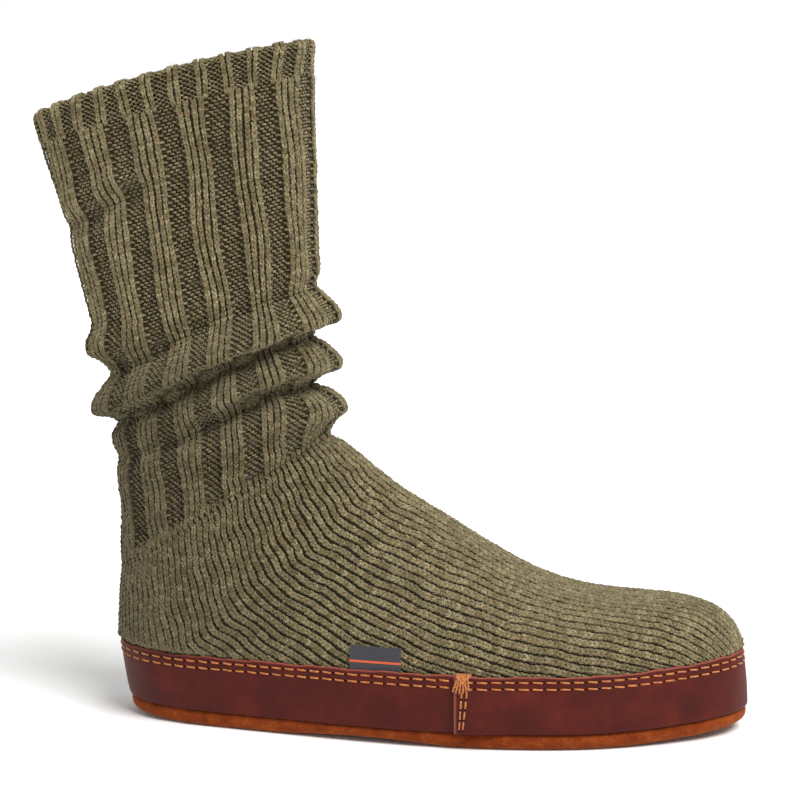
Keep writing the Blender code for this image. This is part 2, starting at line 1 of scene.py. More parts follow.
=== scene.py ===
import bpy
import math
import numpy as np
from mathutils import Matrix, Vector


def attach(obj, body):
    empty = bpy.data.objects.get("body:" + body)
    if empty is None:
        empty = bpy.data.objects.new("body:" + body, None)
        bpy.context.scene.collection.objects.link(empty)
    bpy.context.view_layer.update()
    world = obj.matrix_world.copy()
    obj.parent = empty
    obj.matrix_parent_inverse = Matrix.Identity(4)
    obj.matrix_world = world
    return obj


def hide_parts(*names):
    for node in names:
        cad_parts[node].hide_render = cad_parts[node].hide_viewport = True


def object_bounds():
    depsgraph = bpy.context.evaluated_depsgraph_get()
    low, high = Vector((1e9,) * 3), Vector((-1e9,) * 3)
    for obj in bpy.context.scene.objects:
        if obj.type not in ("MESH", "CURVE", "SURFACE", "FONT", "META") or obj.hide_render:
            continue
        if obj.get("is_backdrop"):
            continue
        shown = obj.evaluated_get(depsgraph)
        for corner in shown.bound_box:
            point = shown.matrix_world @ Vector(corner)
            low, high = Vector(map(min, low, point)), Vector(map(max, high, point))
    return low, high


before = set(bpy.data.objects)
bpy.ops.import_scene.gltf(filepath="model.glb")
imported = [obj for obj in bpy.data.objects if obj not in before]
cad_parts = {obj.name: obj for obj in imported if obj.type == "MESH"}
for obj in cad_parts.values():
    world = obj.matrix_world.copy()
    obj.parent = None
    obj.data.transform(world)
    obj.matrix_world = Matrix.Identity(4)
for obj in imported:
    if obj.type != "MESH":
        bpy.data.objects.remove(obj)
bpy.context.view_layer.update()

# Suede outsole. A thick cut of rust suede, nap outwards, its edge rounded over, set in a
# little under the leather band and cemented to it. It lies flat under the heel and the
# ball, with a low arch between them and some toe spring.
SOLE_LENGTH = 0.288
BALL_WIDTH = 0.1020
SOLE_THICKNESS = 0.0072
BAND_HEIGHT = 0.0260
CLEARANCE = 0.0003
BAND_LOW = SOLE_THICKNESS + CLEARANCE
HEEL_SEAT = 0.19 * SOLE_LENGTH
HALF = 150

OUTER_SIDE = [
    # share of SOLE_LENGTH, share of BALL_WIDTH, from the heel along the outer side
    (0.000, 0.000), (0.012, -0.125), (0.045, -0.225), (0.100, -0.295), (0.200, -0.365),
    (0.300, -0.425), (0.400, -0.484), (0.500, -0.526), (0.600, -0.540), (0.680, -0.527),
    (0.760, -0.486), (0.840, -0.404), (0.900, -0.315), (0.950, -0.222), (0.985, -0.112),
    (1.000, 0.020)]
INNER_SIDE = [
    (0.000, 0.000), (0.012, 0.120), (0.045, 0.222), (0.100, 0.294), (0.200, 0.332),
    (0.300, 0.328), (0.400, 0.330), (0.500, 0.362), (0.600, 0.414), (0.680, 0.448),
    (0.760, 0.457), (0.840, 0.432), (0.900, 0.374), (0.950, 0.289), (0.985, 0.166),
    (1.000, 0.020)]
LEAN = [
    # along, outward lean of the band's bottom and top edge as shares of BAND_HEIGHT
    (0.00, -0.075, 0.092), (0.15, -0.045, 0.055), (0.40, -0.015, 0.020),
    (0.80, 0.000, 0.000), (1.00, 0.025, -0.065)]
UNDERSIDE = [
    # along, height of the sole's underside as a share of SOLE_THICKNESS
    (0.000, 0.300), (0.060, 0.110), (0.120, 0.000), (0.260, 0.000), (0.340, 0.180),
    (0.420, 0.270), (0.500, 0.160), (0.560, 0.000), (0.740, 0.000), (0.820, 0.060),
    (0.900, 0.240), (1.000, 0.560)]
SPRING = [
    (0.000, 0.160), (0.060, 0.060), (0.120, 0.000), (0.740, 0.000), (0.820, 0.060),
    (0.900, 0.220), (1.000, 0.500)]


def column(table, number):
    return np.array([row[number] for row in table], float)


def smooth(keys, values, at):
    """Smooth curve through the values at the keys, level past the ends."""
    k = np.asarray(keys, float)
    v = np.asarray(values, float)
    at = np.clip(np.asarray(at, float), k[0], k[-1])
    h = np.diff(k)
    d = np.diff(v) / h
    m = np.empty_like(v)
    m[0], m[-1] = d[0], d[-1]
    m[1:-1] = (d[:-1] * h[1:] + d[1:] * h[:-1]) / (h[:-1] + h[1:])
    m[1:-1][d[:-1] * d[1:] <= 0] = 0.0
    i = np.clip(np.searchsorted(k, at, side="right") - 1, 0, len(k) - 2)
    t = (at - k[i]) / h[i]
    return (v[i] * (1 + 2 * t) * (1 - t) ** 2 + v[i + 1] * t * t * (3 - 2 * t)
            + h[i] * (m[i] * t * (1 - t) ** 2 - m[i + 1] * t * t * (1 - t)))


def rounded(keys, values, at, ends=False):
    """Cubic through the values; at the heel and toe it leaves square to the axis."""
    k, v = keys, values
    h, d = np.diff(k), np.diff(v) / np.diff(k)
    m = np.empty_like(v)
    m[1:-1] = (d[:-1] * h[1:] + d[1:] * h[:-1]) / (h[:-1] + h[1:])
    m[0], m[-1] = (np.sign(v[1]), -np.sign(v[1])) if ends else (0.0, 0.0)
    i = np.clip(np.searchsorted(k, at, side="right") - 1, 0, len(k) - 2)
    t = (at - k[i]) / h[i]
    return (v[i] * (1 + 2 * t) * (1 - t) ** 2 + v[i + 1] * t * t * (3 - 2 * t)
            + h[i] * (m[i] * t * (1 - t) ** 2 - m[i + 1] * t * t * (1 - t)))


def outline(half_count):
    """Band outline from the back of the heel, outer side first, with outward normals."""
    sides = []
    for table in (OUTER_SIDE, INNER_SIDE):
        x, y = column(table, 0) * SOLE_LENGTH, column(table, 1) * BALL_WIDTH
        along = np.concatenate([[0.0], np.cumsum(np.hypot(np.diff(x), np.diff(y)))])
        fine = np.linspace(0.0, along[-1], 800)
        fx, fy = rounded(along, x, fine), rounded(along, y, fine, ends=True)
        length = np.concatenate([[0.0], np.cumsum(np.hypot(np.diff(fx), np.diff(fy)))])
        want = np.linspace(0.0, length[-1], half_count + 1)
        sides.append(np.column_stack([np.interp(want, length, fx),
                                      np.interp(want, length, fy)]))
    loop = np.vstack([sides[0], sides[1][-2:0:-1]])
    run = np.roll(loop, -1, axis=0) - np.roll(loop, 1, axis=0)
    normal = np.column_stack([run[:, 1], -run[:, 0]])
    return loop, normal / np.linalg.norm(normal, axis=1)[:, None]


def spring(x):
    """Rise of the sole's top, and of what stands on it, at a distance from the heel."""
    return SOLE_THICKNESS * smooth(column(SPRING, 0), column(SPRING, 1), x / SOLE_LENGTH)


def underside(x):
    """Height of the sole's underside over the floor, at a distance from the heel."""
    return SOLE_THICKNESS * smooth(column(UNDERSIDE, 0), column(UNDERSIDE, 1),
                                   x / SOLE_LENGTH)


def lean(x, level):
    """Outward lean of the band at a height level from 0, its bottom, to 1, its top."""
    share = x / SOLE_LENGTH
    low = smooth(column(LEAN, 0), column(LEAN, 1), share)
    top = smooth(column(LEAN, 0), column(LEAN, 2), share)
    return BAND_HEIGHT * (low + (top - low) * level + 0.048 * level * (1.0 - level))


LOOP, NORMAL = outline(HALF)


def plate(rings):
    """Closed body from outline loops stacked upwards, capped by strips across."""
    count = len(rings[0])
    verts = np.vstack(rings)
    faces = [(r * count + i, r * count + (i + 1) % count,
              (r + 1) * count + (i + 1) % count, (r + 1) * count + i)
             for r in range(len(rings) - 1) for i in range(count)]
    top = (len(rings) - 1) * count
    for i in range(count // 2):
        c, d = (count - i - 1) % count, (count - i) % count
        low = (i, c, i + 1) if i == 0 else (i, d, c, i + 1)
        if i == count // 2 - 1:
            low = (i, d, i + 1)
        faces += [low, tuple(top + k for k in reversed(low))]
    return verts, faces


def mesh_piece(name, verts, faces, finish):
    """A smooth-shaded object at the origin; lengths along the shoe start at the heel."""
    mesh = bpy.data.meshes.new(name)
    moved = np.asarray(verts, float) - np.array([HEEL_SEAT, 0.0, 0.0])
    mesh.from_pydata([tuple(p) for p in moved], [], faces)
    mesh.materials.append(finish)
    mesh.shade_smooth()
    obj = bpy.data.objects.new(name, mesh)
    bpy.context.scene.collection.objects.link(obj)
    return obj


def linear(hex_colour):
    """An sRGB hex colour as linear red, green, blue and full alpha."""
    parts = [int(hex_colour[i:i + 2], 16) / 255.0 for i in (1, 3, 5)]
    return tuple(p / 12.92 if p <= 0.04045 else ((p + 0.055) / 1.055) ** 2.4
                 for p in parts) + (1.0,)


def add(tree, kind, values=None, links=None, **settings):
    """Add a node with its settings, its input values and its links."""
    node = tree.nodes.new(kind)
    for key, value in settings.items():
        setattr(node, key, value)
    for key, value in (values or {}).items():
        node.inputs[key].default_value = value
    for key, source in (links or {}).items():
        tree.links.new(source, node.inputs[key])
    return node


def new_finish(name, roughness, gloss=0.5, sheen=0.0):
    """A material with its node tree and its surface shader."""
    finish = bpy.data.materials.new(name)
    finish.use_nodes = True
    surface = finish.node_tree.nodes["Principled BSDF"]
    surface.inputs["Roughness"].default_value = roughness
    surface.inputs["Specular IOR Level"].default_value = gloss
    surface.inputs["Sheen Weight"].default_value = sheen
    return finish, finish.node_tree, surface


def on_piece(tree):
    """Places on the piece itself, in metres."""
    return add(tree, "ShaderNodeTexCoord").outputs["Object"]


def noise(tree, scale, detail, roughness=0.5):
    """A cloudy pattern fixed to the piece; the scale is per metre."""
    node = add(tree, "ShaderNodeTexNoise",
               {"Scale": scale, "Detail": detail, "Roughness": roughness},
               {"Vector": on_piece(tree)})
    return node.outputs["Fac"]


def maths(tree, operation, *values):
    """The result of a maths node on numbers and on other nodes' outputs."""
    node = add(tree, "ShaderNodeMath", operation=operation)
    for socket, value in zip(node.inputs, values):
        if isinstance(value, (int, float)):
            socket.default_value = value
        else:
            tree.links.new(value, socket)
    return node.outputs[0]


def ranged(tree, value, low, high, to_low=0.0, to_high=1.0):
    """A value carried from one range to another, and held at the ends."""
    node = add(tree, "ShaderNodeMapRange", {"From Min": low, "From Max": high,
                                            "To Min": to_low, "To Max": to_high},
               {"Value": value})
    return node.outputs["Result"]


def coloured(tree, value, colours):
    """A value turned into a colour, by positions and hex colours on a ramp."""
    ramp = add(tree, "ShaderNodeValToRGB", links={"Fac": value})
    cells = ramp.color_ramp.elements
    while len(cells) < len(colours):
        cells.new(1.0)
    for cell, (position, colour) in zip(cells, colours):
        cell.position = position
        cell.color = linear(colour)
    return ramp.outputs["Color"]


def dress(tree, surface, colour, height, strength, depth):
    """Give a surface its colour, and the small relief of a pattern."""
    bump = add(tree, "ShaderNodeBump", {"Strength": strength, "Distance": depth},
               {"Height": height})
    tree.links.new(colour, surface.inputs["Base Color"])
    tree.links.new(bump.outputs["Normal"], surface.inputs["Normal"])


# Split suede, brushed: no gloss at all, short nap that lies in patches and catches light.
suede, tree, surface = new_finish("rust split suede, brushed", 0.95, gloss=0.15, sheen=0.35)
surface.inputs["Sheen Roughness"].default_value = 0.6
surface.inputs["Sheen Tint"].default_value = linear("#d98a4a")
nap = noise(tree, 1500.0, 4.0, 0.7)
patch = noise(tree, 160.0, 3.0, 0.6)
half = maths(tree, "MULTIPLY", maths(tree, "ADD", nap, patch), 0.5)
rust = coloured(tree, half, [(0.34, "#521a04"), (0.50, "#702a09"), (0.66, "#8f4418")])
dress(tree, surface, rust, half, 0.55, 0.0004)

SOLE_EDGE = [
    # height share, inset share of SOLE_THICKNESS
    (0.00, 1.30), (0.00, 0.72), (0.025, 0.56), (0.07, 0.44), (0.14, 0.325), (0.22, 0.24),
    (0.34, 0.17), (0.50, 0.13), (0.66, 0.125), (0.80, 0.14), (0.93, 0.20), (0.98, 0.27),
    (1.00, 0.36), (1.00, 1.20)]
rings = []
for high, inset in SOLE_EDGE:
    edge_out = lean(LOOP[:, 0], 0.0) - inset * SOLE_THICKNESS
    flat = LOOP + NORMAL * edge_out[:, None]
    z = (high * SOLE_THICKNESS + underside(LOOP[:, 0]) * (1.0 - high)
         + spring(LOOP[:, 0]) * high)
    rings.append(np.column_stack([flat, z]))
sole = mesh_piece("suede_outsole", *plate(rings), suede)
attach(sole, "root")
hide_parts("outsole")

# Footbed. A felt-covered foam pad inside the wool, cut to the inside of the band and
# glued down on the sole. Only a glimpse of it shows, down through the collar.
BAND_WALL = 0.0016
KNIT_INSET = BAND_WALL + CLEARANCE
INNER_INSET = KNIT_INSET + 0.0020
INSOLE_THICKNESS = 0.0080
PAD_EDGE = [
    # height share, inset from the inside of the wool in metres
    (0.00, 0.0010), (0.10, 0.0), (0.75, 0.0), (0.90, 0.0006), (0.97, 0.0016), (1.00, 0.0034)]

# Pressed grey felt: matt, with short mixed fibres.
felt, tree, surface = new_finish("grey pressed felt", 1.0, gloss=0.1, sheen=0.4)
fibre = noise(tree, 1100.0, 5.0, 0.75)
grey = coloured(tree, fibre, [(0.3, "#6c6a62"), (0.7, "#a19e93")])
dress(tree, surface, grey, fibre, 0.5, 0.0004)

rings = []
for high, inset in PAD_EDGE:
    z = BAND_LOW + high * INSOLE_THICKNESS
    level = (z - BAND_LOW) / BAND_HEIGHT
    edge_out = lean(LOOP[:, 0], level) - INNER_INSET - CLEARANCE - inset
    rings.append(np.column_stack([LOOP + NORMAL * edge_out[:, None],
                                  z + spring(LOOP[:, 0])]))
pad = mesh_piece("felt_footbed", *plate(rings), felt)
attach(pad, "root")
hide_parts("insole")

# Knitted sock, its wall. One tube of ragg wool: a shaft in wide rib, slouched into folds
# above the ankle, then a plain foot, with the lower edge caught inside the leather band.
# The yarn itself is laid on this wall in the next sections, so outside, the wall is painted
# dark as the shade in the gaps between stitches, and inside it is the reverse of the knitting.
INSTEP_HEIGHT = 0.1250
SHAFT_HEIGHT = 0.1830
SHAFT_DEPTH = 0.0290
RIBS = 14
WALES = 7 * RIBS         # each rib is four plain wales, and its channel three purl ones
ROW_PITCH = 0.00235
RIB_TURN = 0.55          # first rib from the middle of the back, in ribs
RIB_HEIGHT = 0.0012
CHANNEL_SINK = 0.0009    # the purl channels lie this much deeper than the plain wall
FOLD_HEIGHT = 0.0058
HEM_LIFT = 0.0006
HEM_HEIGHT = 0.0007      # ribs of the hem
HEM_ROLL = 0.0017        # radius of the rolled rim
SHAFT = [
    # back x, back z, front x, front z, half width, widest, power
    (-0.1350, 0.8270, 0.3120, 1.0110, 1.02, 0.50, 2.3),
    (-0.1270, 0.7790, 0.3085, 0.9540, 0.97, 0.50, 2.3),
    (-0.1100, 0.6900, 0.3078, 0.8680, 0.97, 0.50, 2.3),
    (-0.0870, 0.5800, 0.3095, 0.7650, 0.98, 0.50, 2.3),
    (-0.0715, 0.4700, 0.3105, 0.6600, 0.98, 0.50, 2.3),
    (-0.0540, 0.3660, 0.3120, 0.5670, 0.98, 0.50, 2.3),
    (-0.0390, 0.2800, 0.3135, 0.4850, 0.99, 0.50, 2.3),
    (-0.0310, 0.2060, 0.3175, 0.4150, 1.00, 0.50, 2.3),
    (-0.0255, 0.1360, 0.3200, 0.3500, 1.01, 0.50, 2.3),
    (-0.0215, 0.0700, 0.3215, 0.2900, 1.02, 0.50, 2.3),
    (-0.0110, 0.0040, 0.3235, 0.2350, 1.03, 0.50, 2.3),
    (-0.0050, -0.0670, 0.3260, 0.1800, 1.05, 0.49, 2.3),
    (0.0005, -0.1440, 0.3310, 0.1270, 1.08, 0.48, 2.3),
    (0.0000, -0.2260, 0.3385, 0.0770, 1.11, 0.46, 2.3),
    (-0.0030, -0.3080, 0.3490, 0.0400, 1.14, 0.44, 2.3)]
FOOT = [
    # back x, back z, front x, front z, outer, inner, widest, power top, power low
    (-0.0085, 0.430, 0.3650, 1.012, 0.330, 0.325, 0.40, 2.2, 2.3),
    (-0.0095, 0.305, 0.3880, 0.968, 0.342, 0.332, 0.37, 2.2, 2.4),
    (-0.0030, 0.160, 0.4120, 0.922, 0.355, 0.338, 0.35, 2.1, 2.6),
    (0.0180, 0.040, 0.4380, 0.876, 0.372, 0.340, 0.34, 2.1, 3.0),
    (0.1110, 0.032, 0.4680, 0.832, 0.400, 0.340, 0.33, 2.0, 4.0),
    (0.2220, 0.032, 0.5030, 0.784, 0.440, 0.344, 0.33, 2.0, 5.0),
    (0.3400, 0.032, 0.5420, 0.730, 0.482, 0.352, 0.34, 2.0, 5.0),
    (0.4520, 0.032, 0.5860, 0.666, 0.518, 0.380, 0.37, 2.0, 5.0),
    (0.5550, 0.032, 0.6340, 0.602, 0.536, 0.414, 0.41, 2.0, 5.0),
    (0.6380, 0.032, 0.6820, 0.548, 0.530, 0.440, 0.45, 2.05, 5.0),
    (0.7190, 0.032, 0.7300, 0.512, 0.506, 0.456, 0.48, 2.15, 5.0),
    (0.7850, 0.032, 0.7830, 0.492, 0.462, 0.450, 0.50, 2.25, 5.0),
    (0.8440, 0.036, 0.8390, 0.484, 0.398, 0.428, 0.50, 2.3, 4.5),
    (0.8890, 0.040, 0.8870, 0.478, 0.328, 0.386, 0.50, 2.3, 4.0),
    (0.9240, 0.056, 0.9230, 0.464, 0.266, 0.336, 0.50, 2.2, 3.5),
    (0.9520, 0.080, 0.9510, 0.440, 0.206, 0.278, 0.50, 2.1, 3.0),
    (0.9730, 0.112, 0.9725, 0.404, 0.146, 0.216, 0.50, 2.0, 2.6),
    (0.9865, 0.152, 0.9865, 0.356, 0.088, 0.146, 0.50, 2.0, 2.3),
    (0.9940, 0.196, 0.9940, 0.306, 0.036, 0.080, 0.50, 2.0, 2.0)]
TOE_TIP = (0.9955, 0.020, 0.250)
FOLDS = [
    # name, half width as a share of FOLD_HEIGHT, path seen from the side: x as a share
    # of SOLE_LENGTH, z as a share of SHAFT_HEIGHT above INSTEP_HEIGHT, height share
    ("main ridge", 1.00, [
        (-0.060, 0.088, 0.95), (0.050, 0.158, 1.05), (0.085, 0.190, 1.20),
        (0.160, 0.252, 1.35), (0.235, 0.297, 1.35), (0.300, 0.338, 1.20),
        (0.360, 0.362, 1.15)]),
    ("crease below it", 0.62, [
        (-0.060, 0.024, -0.30), (0.030, 0.088, -0.75), (0.090, 0.132, -1.05),
        (0.160, 0.190, -1.05), (0.225, 0.236, -0.85), (0.300, 0.280, -0.60),
        (0.360, 0.292, -0.45)]),
    ("upper back bump", 1.00, [
        (-0.080, 0.240, 1.00), (-0.020, 0.262, 0.65), (0.040, 0.285, 0.20),
        (0.120, 0.315, 0.00), (0.360, 0.400, 0.00)]),
    ("crease above the main ridge", 0.70, [
        (-0.060, 0.165, -0.45), (0.040, 0.215, -0.35), (0.160, 0.320, -0.30),
        (0.300, 0.400, -0.30), (0.360, 0.430, -0.20)]),
    ("second ridge", 0.90, [
        (-0.060, 0.000, 0.05), (0.120, 0.098, 0.30), (0.175, 0.142, 0.85),
        (0.250, 0.203, 1.15), (0.300, 0.225, 1.10), (0.360, 0.224, 1.05)]),
    ("crease below that", 0.60, [
        (-0.060, -0.060, -0.10), (0.120, 0.035, -0.35), (0.190, 0.088, -0.65),
        (0.250, 0.140, -0.80), (0.360, 0.168, -0.65)]),
    ("third ridge", 1.10, [
        (-0.060, -0.140, 0.05), (0.150, 0.010, 0.30), (0.200, 0.045, 0.50),
        (0.265, 0.092, 0.70), (0.370, 0.118, 1.20)]),
    ("bend of the ankle", 0.85, [
        (0.000, -0.240, 0.00), (0.200, -0.100, -0.20), (0.310, 0.010, -0.45),
        (0.370, 0.068, -0.45)]),
    ("kink of the shaft", 0.90, [
        (-0.100, 0.540, 0.00), (-0.030, 0.580, -0.38), (0.040, 0.640, -0.38),
        (0.095, 0.680, 0.00), (0.360, 0.760, 0.00)]),
    ("swell above the kink", 1.20, [
        (-0.100, 0.600, 0.00), (-0.020, 0.640, 0.28), (0.050, 0.700, 0.28),
        (0.110, 0.730, 0.00), (0.360, 0.810, 0.00)])]

ROWS = []
for bx, bz, fx, fz, wide, level, power in SHAFT:
    ROWS.append((bx * SOLE_LENGTH, INSTEP_HEIGHT + bz * SHAFT_HEIGHT, fx * SOLE_LENGTH,
                 INSTEP_HEIGHT + fz * SHAFT_HEIGHT, wide * SHAFT_DEPTH, wide * SHAFT_DEPTH,
                 level, power, power))
for bx, bz, fx, fz, outer, inner, level, top, low in FOOT:
    ROWS.append((bx * SOLE_LENGTH, bz * INSTEP_HEIGHT, fx * SOLE_LENGTH, fz * INSTEP_HEIGHT,
                 outer * BALL_WIDTH, inner * BALL_WIDTH, level, top, low))
ROWS = np.array(ROWS)
LAST = len(ROWS) - 1
RIB_END = len(SHAFT) - 1.3    # row where the ribs run out into plain knitting
RIM_ROW = 0.2                 # the rim starts to roll over here
STEP = 0.05
COLUMNS = 392
CLOTH_ROWS = np.arange(-1.0, LAST + STEP / 2, STEP)
CLOTH_SHARES = np.arange(COLUMNS) / COLUMNS


def section(row):
    """Fine closed curve of one section, with its share of the girth at each point."""
    keys = np.arange(len(ROWS))
    bx, bz, fx, fz, outer, inner, level, top, low = (
        float(smooth(keys, ROWS[:, i], row)) for i in range(9))
    angle = np.linspace(0.0, 2.0 * math.pi, 361)
    c, s = np.cos(angle), np.sin(angle)
    power = np.where(c > 0, low, top)
    across = np.abs(s) ** (2.0 / power) * np.where(s >= 0, -outer, inner)
    reach = np.abs(c) ** (2.0 / power)
    along = np.where(c > 0, level - level * reach, level + (1.0 - level) * reach)
    rim = 0.018 * SHAFT_HEIGHT * s * s * np.clip(1.0 - row / 3.0, 0.0, 1.0)
    turn = 0.020 * BALL_WIDTH * np.clip((row - 12.0) / 6.0, 0.0, 1.0)
    pts = np.column_stack([bx + (fx - bx) * along, across + turn,
                           bz + (fz - bz) * along + rim])
    middle = len(angle) // 2
    step = np.linalg.norm(np.diff(pts, axis=0), axis=1)
    left = np.concatenate([[0.0], np.cumsum(step[:middle])])
    right = np.concatenate([[0.0], np.cumsum(step[middle:])])
    share = np.concatenate([0.5 * left / left[-1], 0.5 + 0.5 * right[1:] / right[-1]])
    return share, pts


def grid_normals(grid):
    """Outward unit normals of a surface grid, rows by girth shares."""
    across = np.roll(grid, -1, axis=1) - np.roll(grid, 1, axis=1)
    down = np.gradient(grid, axis=0)
    n = np.cross(down, across)
    return n / np.maximum(np.linalg.norm(n, axis=2), 1e-12)[:, :, None]


def fold_height(pts):
    """Height of the slouch folds at points of the shaft, by their place seen sideways."""
    x = pts[..., 0] / SOLE_LENGTH
    total = np.zeros(x.shape)
    for name, width, path in FOLDS:
        z = INSTEP_HEIGHT + SHAFT_HEIGHT * smooth(column(path, 0), column(path, 1), x)
        rise = smooth(column(path, 0), column(path, 2), x)
        away = (pts[..., 2] - z) * 0.88 / (width * FOLD_HEIGHT)
        total += FOLD_HEIGHT * rise * np.exp(-np.abs(away) ** np.where(rise > 0, 2.7, 2.0))
    return total


def step_profile(phase, edge, soft):
    """1 inside the edge, 0 beyond it, with a soft flank."""
    t = np.clip((edge + soft / 2 - phase) / soft, 0.0, 1.0)
    return t * t * (3.0 - 2.0 * t)


def wander(shares, rows):
    """Slow sideways wander of the wales of the shaft, as a share of the girth."""
    fade = np.clip((RIB_END - rows) / 2.0, 0.0, 1.0)
    slow = (0.0022 * np.sin(2.0 * math.pi * (3.0 * shares + 0.21 * rows))
            + 0.0016 * np.sin(2.0 * math.pi * (7.0 * shares - 0.34 * rows + 0.3))
            - 0.0100 * np.cos(2.0 * math.pi * shares))
    foot = (0.0011 * np.sin(2.0 * math.pi * (5.0 * shares + 0.55 * rows))
            + 0.0007 * np.sin(2.0 * math.pi * (8.0 * shares - 0.95 * rows)))
    return fade * slow + (1.0 - fade) * foot


def rib_relief(shares, rows):
    """Ribs, purl channels and the finer ribs of the hem, as heights over the wall."""
    turn = (shares - wander(shares, rows)) * RIBS - RIB_TURN
    phase = np.abs(np.mod(turn, 1.0) - 0.5) * 2.0
    rib = step_profile(phase, 0.60, 0.20)
    split = np.exp(-(phase / 0.10) ** 2) * np.clip((9.0 - rows) / 5.0, 0.25, 1.0)
    fade = np.clip((RIB_END + 0.4 - rows) / 0.8, 0.0, 1.0)
    shaft = (RIB_HEIGHT * (rib + 0.35 * rib * np.cos(phase * math.pi / 2 / 0.60)
                           - 0.45 * split) - CHANNEL_SINK * (1.0 - rib)) * fade
    phase = np.abs(np.mod(2.0 * turn, 1.0) - 0.5) * 2.0
    ends = np.clip((rows + 0.5) / 1.0, 0.35, 1.0)
    hem = HEM_LIFT + HEM_HEIGHT * ends * (2.0 * step_profile(phase, 0.52, 0.40) - 1.0)
    top = np.clip((1.45 - rows) / 0.25, 0.0, 1.0)
    return shaft * (1.0 - top) + hem * top


def held_in(points):
    """Points of the knit moved inwards where the leather band holds them."""
    pts = points.reshape(-1, 3).copy()
    rim = BAND_LOW + BAND_HEIGHT + spring(pts[:, 0])
    for part in np.array_split(np.where(pts[:, 2] < rim + 0.006)[0], 60):
        gap = pts[part, None, :2] - LOOP[None]
        near = np.argmin((gap ** 2).sum(axis=2), axis=1)
        high = pts[part, 2]
        level = np.clip((high - BAND_LOW) / BAND_HEIGHT, 0.0, 1.0)
        out = (((pts[part, :2] - LOOP[near]) * NORMAL[near]).sum(axis=1)
               - lean(LOOP[near, 0], level))
        room = -KNIT_INSET - CLEARANCE + 1.3 * np.maximum(high - rim[part] + 0.0005, 0.0)
        pts[part, :2] -= NORMAL[near] * np.maximum(out - room, 0.0)[:, None]
    return pts.reshape(points.shape)


def cloth_grid(relief, folds):
    """The knit's surface as a grid, with its folds and relief, rolled over at the rim."""
    plain = []
    for row in np.maximum(CLOTH_ROWS, RIM_ROW):
        share, pts = section(row)
        plain.append(np.column_stack([np.interp(CLOTH_SHARES, share, pts[:, i])
                                      for i in range(3)]))
    plain = np.array(plain)
    first = int(np.searchsorted(CLOTH_ROWS, RIM_ROW + 1e-6))
    normal = grid_normals(plain)
    normal[:first + 1] = normal[first + 1]
    up = plain[first] - plain[first + 3]
    up /= np.linalg.norm(up, axis=1)[:, None]
    for k in range(first):
        back = RIM_ROW - CLOTH_ROWS[k]
        turn = math.pi * min(back / 0.5, 1.0)
        out = normal[first]
        plain[k] = (plain[first] - out * HEM_ROLL
                    + HEM_ROLL * (out * math.cos(turn) + up * math.sin(turn))
                    - up * 0.010 * max(back - 0.5, 0.0) / 0.7)
    if relief:
        normal[:first + 2] = grid_normals(plain)[:first + 2]
    rise = folds * fold_height(plain)
    rise = rise * np.where(rise > 0.0, 1.20, 1.60)
    droop = 0.40 * np.maximum(rise, 0.0)
    if relief:
        rise = rise + rib_relief(CLOTH_SHARES[None, :], CLOTH_ROWS[:, None])
    else:
        rise[:first] = 0.0
    plain[:, :, 2] -= droop
    return held_in(plain + normal * rise[:, :, None])


cloth = cloth_grid(True, 1.0)
cloth_normal = grid_normals(cloth)
GIRTH = np.linalg.norm(np.roll(cloth, -1, axis=1) - cloth, axis=2).sum(axis=1)


def sample(field, shares, rows):
    """Reads a grid field between its points at girth shares and section rows."""
    c = np.mod(np.asarray(shares, float), 1.0) * COLUMNS
    r = np.clip((np.asarray(rows, float) - CLOTH_ROWS[0]) / STEP, 0.0,
                len(CLOTH_ROWS) - 1.001)
    c0, r0 = np.floor(c).astype(int), np.floor(r).astype(int)
    fc, fr = (c - c0)[..., None], (r - r0)[..., None]
    c0, c1 = c0 % COLUMNS, (c0 + 1) % COLUMNS
    return ((field[r0, c0] * (1 - fc) + field[r0, c1] * fc) * (1 - fr)
            + (field[r0 + 1, c0] * (1 - fc) + field[r0 + 1, c1] * fc) * fr)


def mixed(tree, share, below, above):
    """One colour mixed with another, which may be a hex colour."""
    node = add(tree, "ShaderNodeMix", links={"Factor": share, 6: below}, data_type="RGBA")
    if isinstance(above, str):
        node.inputs[7].default_value = linear(above)
    else:
        tree.links.new(above, node.inputs[7])
    return node.outputs[2]


# Ragg wool seen from the back of the knitting and in the gaps: the same heathered yarn;
# in the gaps its colour is painted dark, as the shade between the stitches.
wool_back_and_gap_shade, tree, surface = new_finish("olive ragg wool, reverse side and painted gap shade", 1.0, gloss=0.1,
                                      sheen=0.2)
side = add(tree, "ShaderNodeAttribute", attribute_name="inside")
fleck = noise(tree, 900.0, 4.0, 0.7)
# Painted shade: the dark colour of the wall outside, in the gaps between the stitches.
gap = coloured(tree, fleck, [(0.35, "#2e2513"), (0.65, "#50452a")])
back = coloured(tree, fleck, [(0.32, "#57502f"), (0.5, "#7d7453"), (0.68, "#9a9070")])
loops = add(tree, "ShaderNodeUVMap", uv_map="wales and rows")
across = add(tree, "ShaderNodeSeparateXYZ", links={"Vector": loops.outputs["UV"]})
waves = [maths(tree, "COSINE", maths(tree, "MULTIPLY", across.outputs[axis], 2 * math.pi))
         for axis in "XY"]
dress(tree, surface, mixed(tree, side.outputs["Fac"], gap, back),
      maths(tree, "MULTIPLY", *waves), 0.9, 0.0009)

WALL_SINK = 0.0013
WALL_WIDTH = 0.0017
WALL_COLUMNS = 2 * WALES
WALL_FOOT = 0.0012       # the wall ends this far above the bottom of the band
TOE_SET_BACK = 0.0015    # the wall closes this far behind the tip of the toe
LINING_FOLDS = 0.75      # the folds are this much flatter on the inside
shares = np.arange(WALL_COLUMNS) / WALL_COLUMNS
